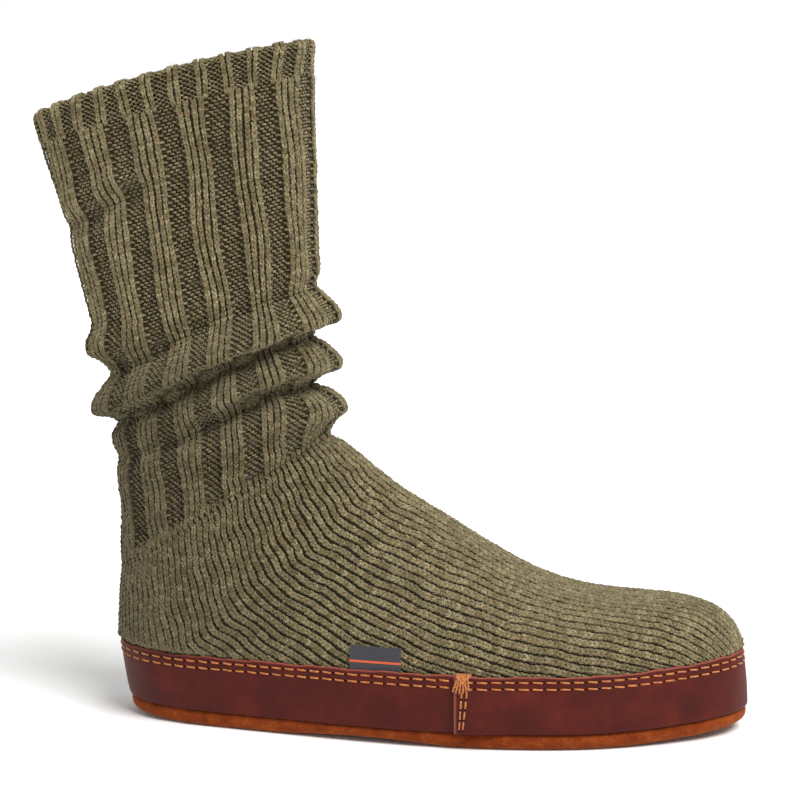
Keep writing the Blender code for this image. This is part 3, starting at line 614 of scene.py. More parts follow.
# Rows stand closest in the folds and at the rim, where the wall bends most.
outer_rows = np.concatenate([np.arange(LAST, 13.5, -0.22), np.arange(13.5, 6.0, -0.09),
                             np.arange(6.0, 1.5, -0.16), np.arange(1.5, -0.40, -0.10)])
turned_rows = np.arange(-0.40, -0.99, -0.12)
inside_rows = np.concatenate([np.arange(0.8, 6.0, 0.30), np.arange(6.0, 14.0, 0.20),
                              np.arange(14.0, LAST - 1.2, 0.45)])
lining = cloth_grid(False, LINING_FOLDS)
layers = []
for rows, surface_at, normal_at, sink in (
        (outer_rows, cloth, cloth_normal, WALL_SINK),
        (turned_rows, cloth, cloth_normal, WALL_SINK),
        (inside_rows, lining, grid_normals(lining), WALL_SINK + CHANNEL_SINK + WALL_WIDTH)):
    layers.append(sample(surface_at, shares[None, :], rows[:, None])
                  - sample(normal_at, shares[None, :], rows[:, None]) * sink)
stack = np.concatenate(layers)
verts = stack.reshape(-1, 3)
toe = np.array([TOE_TIP[0] * SOLE_LENGTH, TOE_TIP[1] * BALL_WIDTH,
                TOE_TIP[2] * INSTEP_HEIGHT])
verts = np.vstack([verts, toe - [TOE_SET_BACK, 0.0, 0.0], layers[-1][-1].mean(axis=0)])
faces = []
for r in range(len(stack) - 1):
    for i in range(WALL_COLUMNS):
        j = (i + 1) % WALL_COLUMNS
        faces.append((r * WALL_COLUMNS + i, r * WALL_COLUMNS + j,
                      (r + 1) * WALL_COLUMNS + j, (r + 1) * WALL_COLUMNS + i))
end = (len(stack) - 1) * WALL_COLUMNS
for i in range(WALL_COLUMNS):
    j = (i + 1) % WALL_COLUMNS
    faces.append((len(verts) - 2, j, i))
    faces.append((len(verts) - 1, end + i, end + j))
faces = [f for f in faces if min(verts[k][2] - float(spring(verts[k][0])) for k in f[:2])
         > BAND_LOW + WALL_FOOT]
wall = mesh_piece("knit_wall", verts, faces, wool_back_and_gap_shade)
inward = np.zeros(len(verts))
inward[len(outer_rows) * WALL_COLUMNS:] = 1.0
wall.data.attributes.new("inside", "FLOAT", "POINT").data.foreach_set("value", inward)
uv = wall.data.uv_layers.new(name="wales and rows")
row_length = np.concatenate([[0.0], np.cumsum(np.linalg.norm(
    np.diff(stack, axis=0), axis=2).mean(axis=1))]) / ROW_PITCH
index = np.empty(len(wall.data.loops), int)
wall.data.loops.foreach_get("vertex_index", index)
column_of, row_of = index % WALL_COLUMNS, np.minimum(index // WALL_COLUMNS, len(stack) - 1)
uv.data.foreach_set("uv", np.column_stack([column_of * WALES / WALL_COLUMNS,
                                           row_length[row_of]]).ravel())
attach(wall, "root")
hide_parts("upper_knit")

# Knitting of the shaft. Each wale of plain stitches is a chain of V's: two legs of thick
# ragg yarn that lean apart and dip under the next stitch. Four of them make a rib. The
# purl channels between show the crossing loops instead, three wales wide, in brick bond.
PURL_PITCH = 0.0030
YARN_SINK = 0.00072      # the yarn's middle lies this far under the surface of the knit
HEM_ROW = 1.45           # the shaft's ribs start below the hem
RIBS_FROM = HEM_ROW - 0.08
FORM_MM = (3.2, 2.35, 1.3)    # wale width, row height and yarn thickness of the forms
UNIT = tuple(v * 0.001 for v in FORM_MM)
TUCK = 0.0042            # stitches run down this far behind the band's top edge
FOOT_ROWS = CLOTH_ROWS >= RIB_END
PEAK = np.where(FOOT_ROWS, np.maximum.accumulate(np.where(FOOT_ROWS, GIRTH, 0.0)), 1.0)
SPREAD = np.where(FOOT_ROWS, PEAK / GIRTH, 1.0)


def wale_share(share, row):
    """Girth share of a wale at a row; on the foot the wales keep their distance."""
    wide = np.interp(row, CLOTH_ROWS, SPREAD)
    return 0.5 + (share - 0.5) * wide + wander(share, row)


def form_mesh(name, strands, sides=4):
    """A small mesh of yarn ends from points in mm with a half thickness, in form units."""
    verts, faces = [], []
    for strand in strands:
        pts = np.array([p[:3] for p in strand], float)
        start, rings = len(verts), len(strand) - 2
        verts.append(pts[0])
        for k in range(1, len(pts) - 1):
            run = pts[k + 1] - pts[k - 1]
            across = np.cross(run, [0.0, 0.0, 1.0])
            across /= np.linalg.norm(across)
            up = np.cross(across, run)
            up /= np.linalg.norm(up)
            for s in range(sides):
                a = 2.0 * math.pi * (s + 0.5) / sides
                verts.append(pts[k] + strand[k][3] * (across * math.cos(a)
                                                      + up * math.sin(a)))
        verts.append(pts[-1])
        end = len(verts) - 1
        for s in range(sides):
            t = (s + 1) % sides
            faces.append((start, start + 1 + s, start + 1 + t))
            faces.append((end, end - sides + t, end - sides + s))
            for k in range(rings - 1):
                a = start + 1 + k * sides
                faces.append((a + s, a + sides + s, a + sides + t, a + t))
    mesh = bpy.data.meshes.new(name)
    mesh.from_pydata([tuple(v / np.array(FORM_MM)) for v in verts], [], faces)
    mesh.shade_smooth()
    obj = bpy.data.objects.new(name, mesh)
    bpy.context.scene.collection.objects.link(obj)
    return obj


def laying_tree():
    """Geometry Nodes that set a form on every point, turned and sized by attributes."""
    group = bpy.data.node_groups.new("lay yarn on the knit", "GeometryNodeTree")
    face = group.interface
    face.new_socket("Geometry", in_out="INPUT", socket_type="NodeSocketGeometry")
    face.new_socket("Form", in_out="INPUT", socket_type="NodeSocketObject")
    face.new_socket("Material", in_out="INPUT", socket_type="NodeSocketMaterial")
    for name in ("Wale width", "Row height", "Yarn thickness"):
        face.new_socket(name, in_out="INPUT", socket_type="NodeSocketFloat")
    face.new_socket("Geometry", in_out="OUTPUT", socket_type="NodeSocketGeometry")
    given = add(group, "NodeGroupInput").outputs
    along, outward, size = (
        add(group, "GeometryNodeInputNamedAttribute", {"Name": name},
            data_type="FLOAT_VECTOR").outputs["Attribute"]
        for name in ("along", "outward", "size"))
    turn = add(group, "FunctionNodeAxesToRotation",
               links={"Primary Axis": outward, "Secondary Axis": along},
               primary_axis="Z", secondary_axis="Y")
    unit = add(group, "ShaderNodeCombineXYZ", links={
        "X": given["Wale width"], "Y": given["Row height"], "Z": given["Yarn thickness"]})
    scale = add(group, "ShaderNodeVectorMath", links={0: size, 1: unit.outputs["Vector"]},
                operation="MULTIPLY")
    form = add(group, "GeometryNodeObjectInfo", {"As Instance": True},
               {"Object": given["Form"]})
    laid = add(group, "GeometryNodeInstanceOnPoints", links={
        "Points": given["Geometry"], "Instance": form.outputs["Geometry"],
        "Rotation": turn.outputs["Rotation"], "Scale": scale.outputs["Vector"]})
    real = add(group, "GeometryNodeRealizeInstances",
               links={"Geometry": laid.outputs["Instances"]})
    done = add(group, "GeometryNodeSetMaterial", links={
        "Geometry": real.outputs["Geometry"], "Material": given["Material"]})
    add(group, "NodeGroupOutput", links={"Geometry": done.outputs["Geometry"]})
    return group


LAYING = laying_tree()
SOCKETS = {item.name: item.identifier for item in LAYING.interface.items_tree
           if item.in_out == "INPUT"}


def lay(name, form, spots, finish):
    """One plain mesh of a form set on spots: place, along, outward, size and shade."""
    place, along, outward, size, shade = spots
    mesh = bpy.data.meshes.new(name)
    mesh.from_pydata([tuple(p) for p in place - np.array([HEEL_SEAT, 0.0, 0.0])], [], [])
    for key, value in (("along", along), ("outward", outward), ("size", size)):
        mesh.attributes.new(key, "FLOAT_VECTOR", "POINT").data.foreach_set(
            "vector", np.asarray(value, np.float32).ravel())
    mesh.attributes.new("shade", "FLOAT", "POINT").data.foreach_set(
        "value", np.asarray(shade, np.float32))
    obj = bpy.data.objects.new(name, mesh)
    bpy.context.scene.collection.objects.link(obj)
    laid = obj.modifiers.new("laid yarn", "NODES")
    laid.node_group = LAYING
    laid[SOCKETS["Form"]] = form
    laid[SOCKETS["Material"]] = finish
    for key, value in zip(("Wale width", "Row height", "Yarn thickness"), UNIT):
        laid[SOCKETS[key]] = value
    view = bpy.context.evaluated_depsgraph_get()
    plain = bpy.data.meshes.new_from_object(
        obj.evaluated_get(view), preserve_all_data_layers=True, depsgraph=view)
    obj.modifiers.clear()
    obj.data = plain
    for key in ("along", "outward", "size"):
        if key in plain.attributes:
            plain.attributes.remove(plain.attributes[key])
    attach(obj, "root")
    return obj


CHANCE = np.random.default_rng(11)


def spots_on_knit(shares, rows, pitch, wales, sink, flip=1.0):
    """Places, directions and sizes for stitches at wale shares and section rows."""
    shares, rows = np.asarray(shares, float), np.asarray(rows, float)
    count = len(rows)
    here = sample(cloth, wale_share(shares, rows), rows)
    reach = 0.05
    along = (sample(cloth, wale_share(shares, rows + reach), rows + reach)
             - sample(cloth, wale_share(shares, rows - reach), rows - reach))
    along /= np.maximum(np.linalg.norm(along, axis=1), 1e-9)[:, None]
    across = (sample(cloth, wale_share(shares + 0.5 / wales, rows), rows)
              - sample(cloth, wale_share(shares - 0.5 / wales, rows), rows))
    width = np.linalg.norm(across, axis=1)
    outward = sample(cloth_normal, wale_share(shares, rows), rows)
    outward /= np.linalg.norm(outward, axis=1)[:, None]
    # No stitch lies quite like the next: each is off by a tenth of a millimetre or so.
    jitter = CHANCE.normal(0.0, 1.0, (count, 3))
    side = across / np.maximum(width, 1e-9)[:, None]
    place = (here - outward * (sink - 0.00011 * jitter[:, :1])
             + side * 0.00010 * jitter[:, 1:2])
    along = along + side * 0.08 * jitter[:, 2:3]
    along = along * (np.asarray(flip) * np.ones(count))[:, None]
    size = np.column_stack([width / UNIT[0], np.asarray(pitch) / UNIT[1] * np.ones(count),
                            1.0 + 0.06 * CHANCE.normal(0.0, 1.0, count)])
    # Over the forefoot the foot fills the knit, and the stitches lie wider.
    fuller = (np.clip((here[:, 0] - 0.10) / 0.05, 0.0, 1.0)
              * np.clip((0.275 - here[:, 0]) / 0.035, 0.0, 1.0))
    size[:, 0] *= 1.0 + 0.13 * fuller
    size[:, :2] *= 1.0 + 0.06 * CHANCE.normal(0.0, 1.0, (count, 1))
    shade = CHANCE.random(count)
    keep = (here[:, 2] > BAND_LOW + BAND_HEIGHT + spring(here[:, 0]) - TUCK)
    keep &= np.abs(wale_share(shares, rows) - 0.5) <= 0.5
    return [a[keep] for a in (place, along, outward, size, shade)], shares[keep]


def stations(share, first, last, pitch, whole=True):
    """Section rows of evenly spaced stitches along a wale, and their true pitch."""
    rows = np.arange(first, last, 0.02)
    pts = sample(cloth, wale_share(share, rows), rows)
    length = np.concatenate([[0.0], np.cumsum(np.linalg.norm(np.diff(pts, axis=0), axis=1))])
    count = max(int(round(length[-1] / pitch)), 1)
    true = length[-1] / count if whole else pitch
    return np.interp((np.arange(count) + 0.5) * true, length, rows), true


def stitch_lists(laid):
    """Shares, rows, pitches and flips of all stitches, from one entry for each wale."""
    counts = [len(rows) for share, rows, pitch, flip in laid]
    shares, pitches, flips = (np.repeat([wale[i] for wale in laid], counts)
                              for i in (0, 2, 3))
    return shares % 1.0, np.concatenate([wale[1] for wale in laid]), pitches, flips


def knit_sides(name, form, laid):
    """Stitches laid as two pieces, for the outer and the inner side of the shoe."""
    shares, rows, pitches, flips = stitch_lists(laid)
    spots, kept = spots_on_knit(shares, rows, pitches, WALES, YARN_SINK, flips)
    for side, chosen in (("outer", kept <= 0.5), ("inner", kept > 0.5)):
        lay(f"{name}_{side}", form, [a[chosen] for a in spots], wool)


def tinted(tree, colour, share):
    """A colour made darker or lighter by a share."""
    node = add(tree, "ShaderNodeVectorMath", links={0: colour, 1: share},
               operation="MULTIPLY")
    return node.outputs["Vector"]


# Ragg wool: strands of olive, straw and brown plied together, so that colour changes
# along every stitch; matt and hairy, with a faint pale sheen where the fuzz stands up.
# Shade is painted into its colour toward the heel, darkening it there, but not above the
# folds.
PAINTED_HEEL_SHADE = (-0.055, 0.070, 0.48, 1.0)    # x at each end, then how much colour is kept
PAINTED_SHADE_TOP = (0.110, 0.190)                # heights between which the darkening ends
wool, tree, surface = new_finish("olive ragg wool, knitted, with painted heel shade", 1.0, gloss=0.12, sheen=0.35)
surface.inputs["Sheen Roughness"].default_value = 0.55
surface.inputs["Sheen Tint"].default_value = linear("#d8cfb0")
tone = add(tree, "ShaderNodeAttribute", attribute_name="shade")
ply = noise(tree, 1700.0, 3.0, 0.75)
plied = maths(tree, "MULTIPLY_ADD", ply, 0.91,
              maths(tree, "MULTIPLY", tone.outputs["Fac"], 0.09))
strands = coloured(tree, plied, [(0.30, "#2b2214"), (0.43, "#564b32"), (0.55, "#7a6f50"),
                                 (0.68, "#b4aa88")])
rare = ranged(tree, noise(tree, 420.0, 2.0), 0.62, 0.70)
cloud = ranged(tree, noise(tree, 90.0, 3.0, 0.6), 0.3, 0.7, 0.84, 1.10)
spot = add(tree, "ShaderNodeSeparateXYZ", links={"Vector": on_piece(tree)})
# Painted shade: the colour is darkened toward the heel, up to the folds.
heel = maths(tree, "MAXIMUM", ranged(tree, spot.outputs["X"], *PAINTED_HEEL_SHADE),
             ranged(tree, spot.outputs["Z"], *PAINTED_SHADE_TOP))
olive = tinted(tree, mixed(tree, rare, strands, "#6b4f30"),
               maths(tree, "MULTIPLY", cloud, heel))
dress(tree, surface, olive, ply, 0.5, 0.0003)

LEG = [
    # across, along, outward, half thickness, in mm; mirrored for the other leg
    (0.04, 2.05, -0.50, 0.0), (0.27, 1.00, 0.10, 0.62), (0.53, -0.20, 0.28, 0.79),
    (0.70, -1.20, 0.06, 0.62), (0.68, -2.20, -0.65, 0.0)]
BUMP = [(-1.30, -0.45, -0.55, 0.0), (-0.58, 0.08, 0.12, 0.60), (0.58, 0.08, 0.12, 0.60),
        (1.30, -0.45, -0.55, 0.0)]
stitch = form_mesh("plain stitch", [LEG, [(-x, y, z, r) for x, y, z, r in LEG]])
loop_back = form_mesh("purl loop", [BUMP])

laid = []
for k in range(RIBS):
    line, pitch = stations((k + 0.5 + RIB_TURN) / RIBS, RIBS_FROM, RIB_END, ROW_PITCH)
    laid += [((wale + 7 * RIB_TURN) / WALES, line, pitch, 1.0)
             for wale in range(7 * k + 2, 7 * k + 6)]
knit_sides("shaft_ribs", stitch, laid)

PURL_ON_ROW = (-0.86, 0.0, 0.86)              # in wales from the middle of the channel
PURL_BETWEEN = (-1.29, -0.43, 0.43, 1.29)
PURL_HEIGHT = 0.88                            # height of a loop as a share of its pitch
laid = []
for k in range(RIBS):
    line, pitch = stations((k + RIB_TURN) / RIBS, RIBS_FROM, RIB_END, PURL_PITCH)
    middle = (line[1:] + line[:-1]) / 2
    laid += [((7 * (k + RIB_TURN) + wale) / WALES, line, PURL_HEIGHT * pitch, 1.0)
             for wale in PURL_ON_ROW]
    laid += [((7 * (k + RIB_TURN) + wale) / WALES, middle, PURL_HEIGHT * pitch, -1.0)
             for wale in PURL_BETWEEN]
knit_sides("shaft_channels", loop_back, laid)

# Hem of the collar. A finer rib, two plain and two purl wales in turn, twenty-eight
# times round, ends in a soft rolled edge that turns over to the inside.
HEM_RIBS = 2 * RIBS
HEM_WALES = 4 * HEM_RIBS
HEM_PITCH = 0.0021
HEM_FROM = -0.80         # row inside the rolled rim where the hem's stitches start
for name, form, offset in (("hem_ribs", stitch, 0.5), ("hem_channels", loop_back, 0.0)):
    laid = []
    for k in range(HEM_RIBS):
        centre = (k + offset + 2 * RIB_TURN) / HEM_RIBS
        line, pitch = stations(centre, HEM_FROM, HEM_ROW, HEM_PITCH)
        middle = (line[1:] + line[:-1]) / 2
        laid += [(centre + c / HEM_WALES, line, pitch, 1.0) for c in (-0.5, 0.5)]
        if form is loop_back:
            laid += [(centre + c / HEM_WALES, middle, pitch, -1.0) for c in (-0.9, 0.0, 0.9)]
    shares, rows, pitches, flips = stitch_lists(laid)
    spots, kept = spots_on_knit(shares, rows, pitches, HEM_WALES, YARN_SINK, flips)
    lay(name, form, spots, wool)

# Knitting of the foot, all plain stitches. Every wale of the shaft runs on. The wales
# keep their distance along the foot, so that at the toe they turn down into the band.
laid = []
for wale in range(WALES):
    share = ((wale + 7 * RIB_TURN) / WALES) % 1.0
    line, pitch = stations(share, RIB_END, LAST - 0.05, ROW_PITCH, whole=False)
    laid.append((share, line, pitch, 1.0))
knit_sides("foot_stitches", stitch, laid)

# Loose hairs of the wool. Thin fibres stand a millimetre or so off the whole knit, so
# that its edges look soft.
HAIRS = 5200
wool_hair, tree, surface = new_finish("loose fibres of the ragg wool", 1.0, gloss=0.1)
surface.inputs["Base Color"].default_value = linear("#a2977a")
hair = form_mesh("wool hair", [[(0.0, -1.7, -0.3, 0.0), (0.30, -0.6, 0.45, 0.05),
                                (-0.15, 0.7, 0.80, 0.05), (0.35, 1.9, 1.15, 0.0)]], sides=3)
spots, kept = spots_on_knit(CHANCE.random(HAIRS), CHANCE.uniform(-0.55, LAST - 0.1, HAIRS),
                            ROW_PITCH, WALES, 0.0)
place, along, outward, size, shade = spots
turn = CHANCE.uniform(0.0, 2.0 * math.pi, (len(place), 1))
along = along * np.cos(turn) + np.cross(along, outward) * np.sin(turn)
size = np.ones((len(place), 3)) * CHANCE.uniform(0.6, 1.25, (len(place), 1))
lay("loose_hairs", hair, [place, along, outward, size, shade], wool_hair)

# Side band. Two strips of thick oxblood leather, cut edges left raw on top, sewn to the
# wool. The toe length laps over the heel length on both sides of the foot.
LAP_LENGTH = 0.0100
LAP_STEP = BAND_WALL + CLEARANCE
SEAM = 0.560 * SOLE_LENGTH
BLEND = 1.2 * LAP_LENGTH
STITCH_ROWS = (0.0023, 0.0053)    # below the top edge
THREAD_PITCH = 0.0060
CLOSED = np.vstack([LOOP, LOOP[:1]])
CLOSED_NORMAL = np.vstack([NORMAL, NORMAL[:1]])
AROUND = np.concatenate([[0.0], np.cumsum(np.linalg.norm(np.diff(CLOSED, axis=0), axis=1))])
ROUND = AROUND[-1]
outer_seam = AROUND[int(np.argmin(np.abs(LOOP[:HALF, 0] - SEAM)))]
inner_seam = AROUND[HALF + int(np.argmin(np.abs(LOOP[HALF:, 0] - SEAM)))]
PROFILE = [
    # level of BAND_HEIGHT, inset in mm, share of the stitching's dents it takes, raw edge
    (0.000, 1.00, 0, 0), (0.000, 0.60, 0, 0), (0.010, 0.26, 0, 0), (0.032, 0.08, 0, 0),
    (0.07, 0.0, 0, 0), (0.14, 0.0, 0, 0), (0.22, 0.0, 0, 0), (0.30, 0.0, 0, 0),
    (0.40, 0.0, 0, 0), (0.50, 0.0, 0, 0), (0.60, 0.0, 0, 0), (0.69, 0.0, 1, 0),
    (0.745, 0.0, 1, 0), (0.77, 0.0, 1, 0), (0.785, 0.0, 1, 0), (0.796, 0.0, 1, 0),
    (0.808, 0.0, 1, 0), (0.823, 0.0, 1, 0), (0.852, 0.0, 1, 0), (0.88, 0.0, 1, 0),
    (0.898, 0.0, 1, 0), (0.911, 0.0, 1, 0), (0.924, 0.0, 1, 0), (0.94, 0.0, 1, 0),
    (0.965, 0.02, 1, 0), (0.984, 0.08, 1, 0.3), (0.996, 0.22, 1, 1), (1.000, 0.45, 1, 1),
    (1.000, 1.20, 1, 1), (0.993, 1.46, 1, 1), (0.970, 1.60, 0, 0.4), (0.60, 1.60, 0, 0),
    (0.20, 1.60, 0, 0), (0.000, 1.55, 0, 0)]


def on_band(around, level, inset):
    """Points of the band at distances round the shoe, a level and an inset."""
    s = np.mod(around, ROUND)
    x, y, nx, ny = (np.interp(s, AROUND, f) for f in (
        CLOSED[:, 0], CLOSED[:, 1], CLOSED_NORMAL[:, 0], CLOSED_NORMAL[:, 1]))
    length = np.hypot(nx, ny)
    out = lean(x, level) - inset
    return np.stack([x + nx / length * out, y + ny / length * out,
                     BAND_LOW + level * BAND_HEIGHT + spring(x)], axis=-1)


def leather_relief(around, level):
    """Dents along the stitching, puckers at the top and the slow waves of the hide."""
    down = (1.0 - level) * BAND_HEIGHT
    dent = sum(np.exp(-((down - row) / 0.0006) ** 2) for row in STITCH_ROWS)
    puff = np.exp(-((down - sum(STITCH_ROWS) / 2) / 0.0009) ** 2)
    beat = np.cos(2.0 * math.pi * around / THREAD_PITCH)
    pucker = (0.5 + 0.5 * beat) * np.exp(-(down / 0.0028) ** 2)
    wave = (np.sin(around * 83.0 + 2.1) * np.sin(level * 3.1 + 0.4)
            + 0.6 * np.sin(around * 171.0 + level * 5.0)
            + 0.4 * np.sin(around * 391.0 - level * 7.0 + 1.3))
    return 0.00010 * puff - 0.00026 * dent - 0.00014 * pucker + 0.00010 * wave


def toe_lift(around):
    """How far the toe length stands off the outline, over the ends of the heel length."""
    low, high = outer_seam + LAP_LENGTH + 0.001, inner_seam - LAP_LENGTH - 0.001
    return LAP_STEP * np.clip(np.maximum(low + BLEND - around, around - high + BLEND)
                              / BLEND, 0.0, 1.0)


def band_piece(name, start, stop, lift, node):
    """A strip of leather round the shoe with its own thickness, ends closed."""
    around = np.linspace(start, stop, int((stop - start) / 0.0014) + 1)
    table = np.array(PROFILE)
    verts = []
    for s, off in zip(around, lift(around)):
        level = table[:, 0]
        inset = table[:, 1] * 0.001 - off
        dent = leather_relief(np.full(len(level), s), level)
        inset = inset - np.where(table[:, 1] < 0.9, dent * np.clip(table[:, 0] * 12, 0, 1),
                                 0.0)
        ring = on_band(np.full(len(level), s), level, inset)
        top = 0.00022 * (math.sin(s * 213.0) + 0.7 * math.sin(s * 517.0 + 1.0)) - 0.00012 * (
            0.5 + 0.5 * math.cos(2.0 * math.pi * s / THREAD_PITCH))
        ring[:, 2] += np.clip((level - 0.9) / 0.1, 0.0, 1.0) * top
        verts.append(ring)
    count, per = len(verts), len(table)
    faces = [(k * per + i, (k + 1) * per + i, (k + 1) * per + (i + 1) % per,
              k * per + (i + 1) % per) for k in range(count - 1) for i in range(per)]
    faces += [tuple(range(per)), tuple((count - 1) * per + i for i in reversed(range(per)))]
    obj = mesh_piece(name, np.vstack(verts), faces, hide)
    raw = np.tile(table[:, 3], count)
    raw[:per] = raw[-per:] = 1.0
    obj.data.attributes.new("raw", "FLOAT", "POINT").data.foreach_set("value", raw)
    obj.data.set_sharp_from_angle(angle=math.radians(50.0))
    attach(obj, "root")
    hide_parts(node)
    return obj


# Oiled full-grain leather, dyed oxblood: a fine pebbled grain, a soft low gloss, darker
# cloudy patches from the oil, and a paler, rougher edge where it is cut.
hide, tree, surface = new_finish("oxblood oiled leather, raw edged", 0.52, gloss=0.16)
edge = add(tree, "ShaderNodeAttribute", attribute_name="raw")
cloud = noise(tree, 70.0, 4.0, 0.6)
pores = noise(tree, 1900.0, 3.0, 0.7)
grain = add(tree, "ShaderNodeTexVoronoi", {"Scale": 1250.0}, {"Vector": on_piece(tree)})
oxblood = coloured(tree, cloud, [(0.30, "#3d0e08"), (0.52, "#4a130b"), (0.72, "#581a11")])
dyed = tinted(tree, oxblood, ranged(tree, pores, 0.35, 0.7, 0.86, 1.14))
pebbles = maths(tree, "ADD", maths(tree, "MULTIPLY", grain.outputs["Distance"], 0.6), pores)
dress(tree, surface, mixed(tree, edge.outputs["Fac"], dyed, "#8f4a3a"), pebbles, 0.28, 0.0002)
tree.links.new(ranged(tree, cloud, 0.3, 0.7, 0.46, 0.60), surface.inputs["Roughness"])

band_piece("leather_band_heel", inner_seam - LAP_LENGTH, ROUND + outer_seam + LAP_LENGTH,
           lambda s: np.zeros(len(s)), "band_heel")
band_piece("leather_band_toe", outer_seam, inner_seam, toe_lift, "band_toe")

# Stitching of the band. Two rows of waxed orange thread run round the top of the leather
# and hold the wool. Two short rows close each lap, and a bar tack locks its top corner.
thread_form = form_mesh("waxed thread stitch", [[
    (0.0, -2.45, -0.70, 0.0), (0.0, -2.20, -0.15, 0.34), (0.0, -1.55, 0.20, 0.43),
    (0.0, 0.0, 0.30, 0.45), (0.0, 1.55, 0.20, 0.43), (0.0, 2.20, -0.15, 0.34),
    (0.0, 2.45, -0.70, 0.0)]], sides=6)
# Painted shade: a small dark form at each end of a stitch stands in for the shade inside its
# needle hole.
hole_shade_form = form_mesh("needle hole", [[
    (0.0, -0.62, -0.10, 0.0), (0.0, -0.25, -0.06, 0.30), (0.0, 0.25, -0.06, 0.30),
    (0.0, 0.62, -0.10, 0.0)]], sides=6)

# Waxed polyester thread: smooth and a little shiny, tightly twisted.
thread, tree, surface = new_finish("orange waxed thread", 0.55, sheen=0.2)
twist = noise(tree, 1400.0, 2.0)
orange = coloured(tree, twist, [(0.35, "#8c4512"), (0.52, "#b0611b"), (0.70, "#cd8841")])
dress(tree, surface, orange, twist, 0.5, 0.0002)

# Painted shade: the dark bottom of a needle hole, where no light gets in.
hole_shade, tree, surface = new_finish("painted shade of a needle hole", 1.0, gloss=0.0)
surface.inputs["Base Color"].default_value = linear("#1c0a06")


def band_spots(around, level, lift, tilt=0.0, upright=False, length=1.0):
    """Spots on the leather's face, with the thread running along it or upright."""
    around = np.asarray(around, float)
    level = np.asarray(level, float) * np.ones(len(around))
    face = lift - 0.00003 + leather_relief(around, level)
    here = on_band(around, level, -face)
    ahead = on_band(around + 0.0005, level, -face) - here
    above = on_band(around, level + 0.01, -face) - here
    ahead /= np.linalg.norm(ahead, axis=1)[:, None]
    above /= np.linalg.norm(above, axis=1)[:, None]
    outward = np.cross(ahead, above)
    along = above if upright else ahead
    other = ahead if upright else above
    lean_by = (tilt + 0.03 * CHANCE.normal(0.0, 1.0, len(around)))[:, None]
    size = np.column_stack([1.0 + 0.05 * CHANCE.normal(0.0, 1.0, len(around)),
                            length * (1.0 + 0.04 * CHANCE.normal(0.0, 1.0, len(around))),
                            np.ones(len(around))])
    return [here, along + other * lean_by, outward, size, CHANCE.random(len(around))]


def joined(parts):
    """Lists of spots put together."""
    return [np.concatenate([p[i] for p in parts]) for i in range(5)]


HOLE_AWAY = 0.00262              # from the middle of a stitch to the needle hole at its end
LAP_ROWS = ((0.0034, 0.07), (0.0056, 0.11))     # distance from the lap's end, slope
LAP_TOP = 0.0078                 # first stitch of a lap row, below the top edge
LAP_PITCH = 0.0047
LAP_STITCHES = 4
LAP_HOLE_AWAY = 0.0023
threads, hole_shades = [], []
for name, start, stop, lift in (
        ("heel", inner_seam - ROUND + 0.0015, outer_seam - 0.0015, lambda s: 0.0 * s),
        ("toe", outer_seam + 0.0030, inner_seam - 0.0030, toe_lift)):
    for row in STITCH_ROWS:
        number = int((stop - start) / THREAD_PITCH)
        middle = start + (np.arange(number) + 0.5) * (stop - start) / number
        level = 1.0 - row / BAND_HEIGHT
        threads.append(band_spots(middle, level, lift(middle), tilt=-0.07 * np.ones(number)))
        for end in (-1.0, 1.0):
            at = middle + end * HOLE_AWAY
            hole_shades.append(band_spots(at, level - end * 0.004, lift(at)))
for seam, way in ((outer_seam, 1.0), (inner_seam, -1.0)):
    for away, slope in LAP_ROWS:
        downs = LAP_TOP + LAP_PITCH * np.arange(LAP_STITCHES)
        at = seam + way * (away - slope * (downs - LAP_TOP))
        level = 1.0 - downs / BAND_HEIGHT
        threads.append(band_spots(at, level, toe_lift(at), upright=True, length=0.84,
                                  tilt=np.full(LAP_STITCHES, slope * way)))
        for end in (-1.0, 1.0):
            hole_shades.append(band_spots(at, level + end * LAP_HOLE_AWAY / BAND_HEIGHT,
                                    toe_lift(at), upright=True))
lay("band_stitching", thread_form, joined(threads), thread)
lay("needle_holes", hole_shade_form, joined(hole_shades), hole_shade)


def strand(points, radius, sides=8):
    """A closed length of thread through points."""
    pts = np.array(points, float)
    fine = np.linspace(0, len(pts) - 1, 6 * len(pts))
    path = np.column_stack([smooth(np.arange(len(pts)), pts[:, i], fine) for i in range(3)])
    run = np.gradient(path, axis=0)
    run /= np.linalg.norm(run, axis=1)[:, None]
    side = np.cross(run, [0.35, 0.1, 0.93])
    side /= np.linalg.norm(side, axis=1)[:, None]
    up = np.cross(side, run)
    verts, faces, count = [], [], len(path)
    for k in range(count):
        for s in range(sides):
            a = 2.0 * math.pi * s / sides
            verts.append(path[k] + radius * (side[k] * math.cos(a) + up[k] * math.sin(a)))
    for k in range(count - 1):
        for s in range(sides):
            t = (s + 1) % sides
            faces.append((k * sides + s, (k + 1) * sides + s, (k + 1) * sides + t,
                          k * sides + t))
    verts += [path[0], path[-1]]
    for s in range(sides):
        t = (s + 1) % sides
        faces.append((len(verts) - 2, s, t))
        faces.append((len(verts) - 1, (count - 1) * sides + t, (count - 1) * sides + s))
    return verts, faces


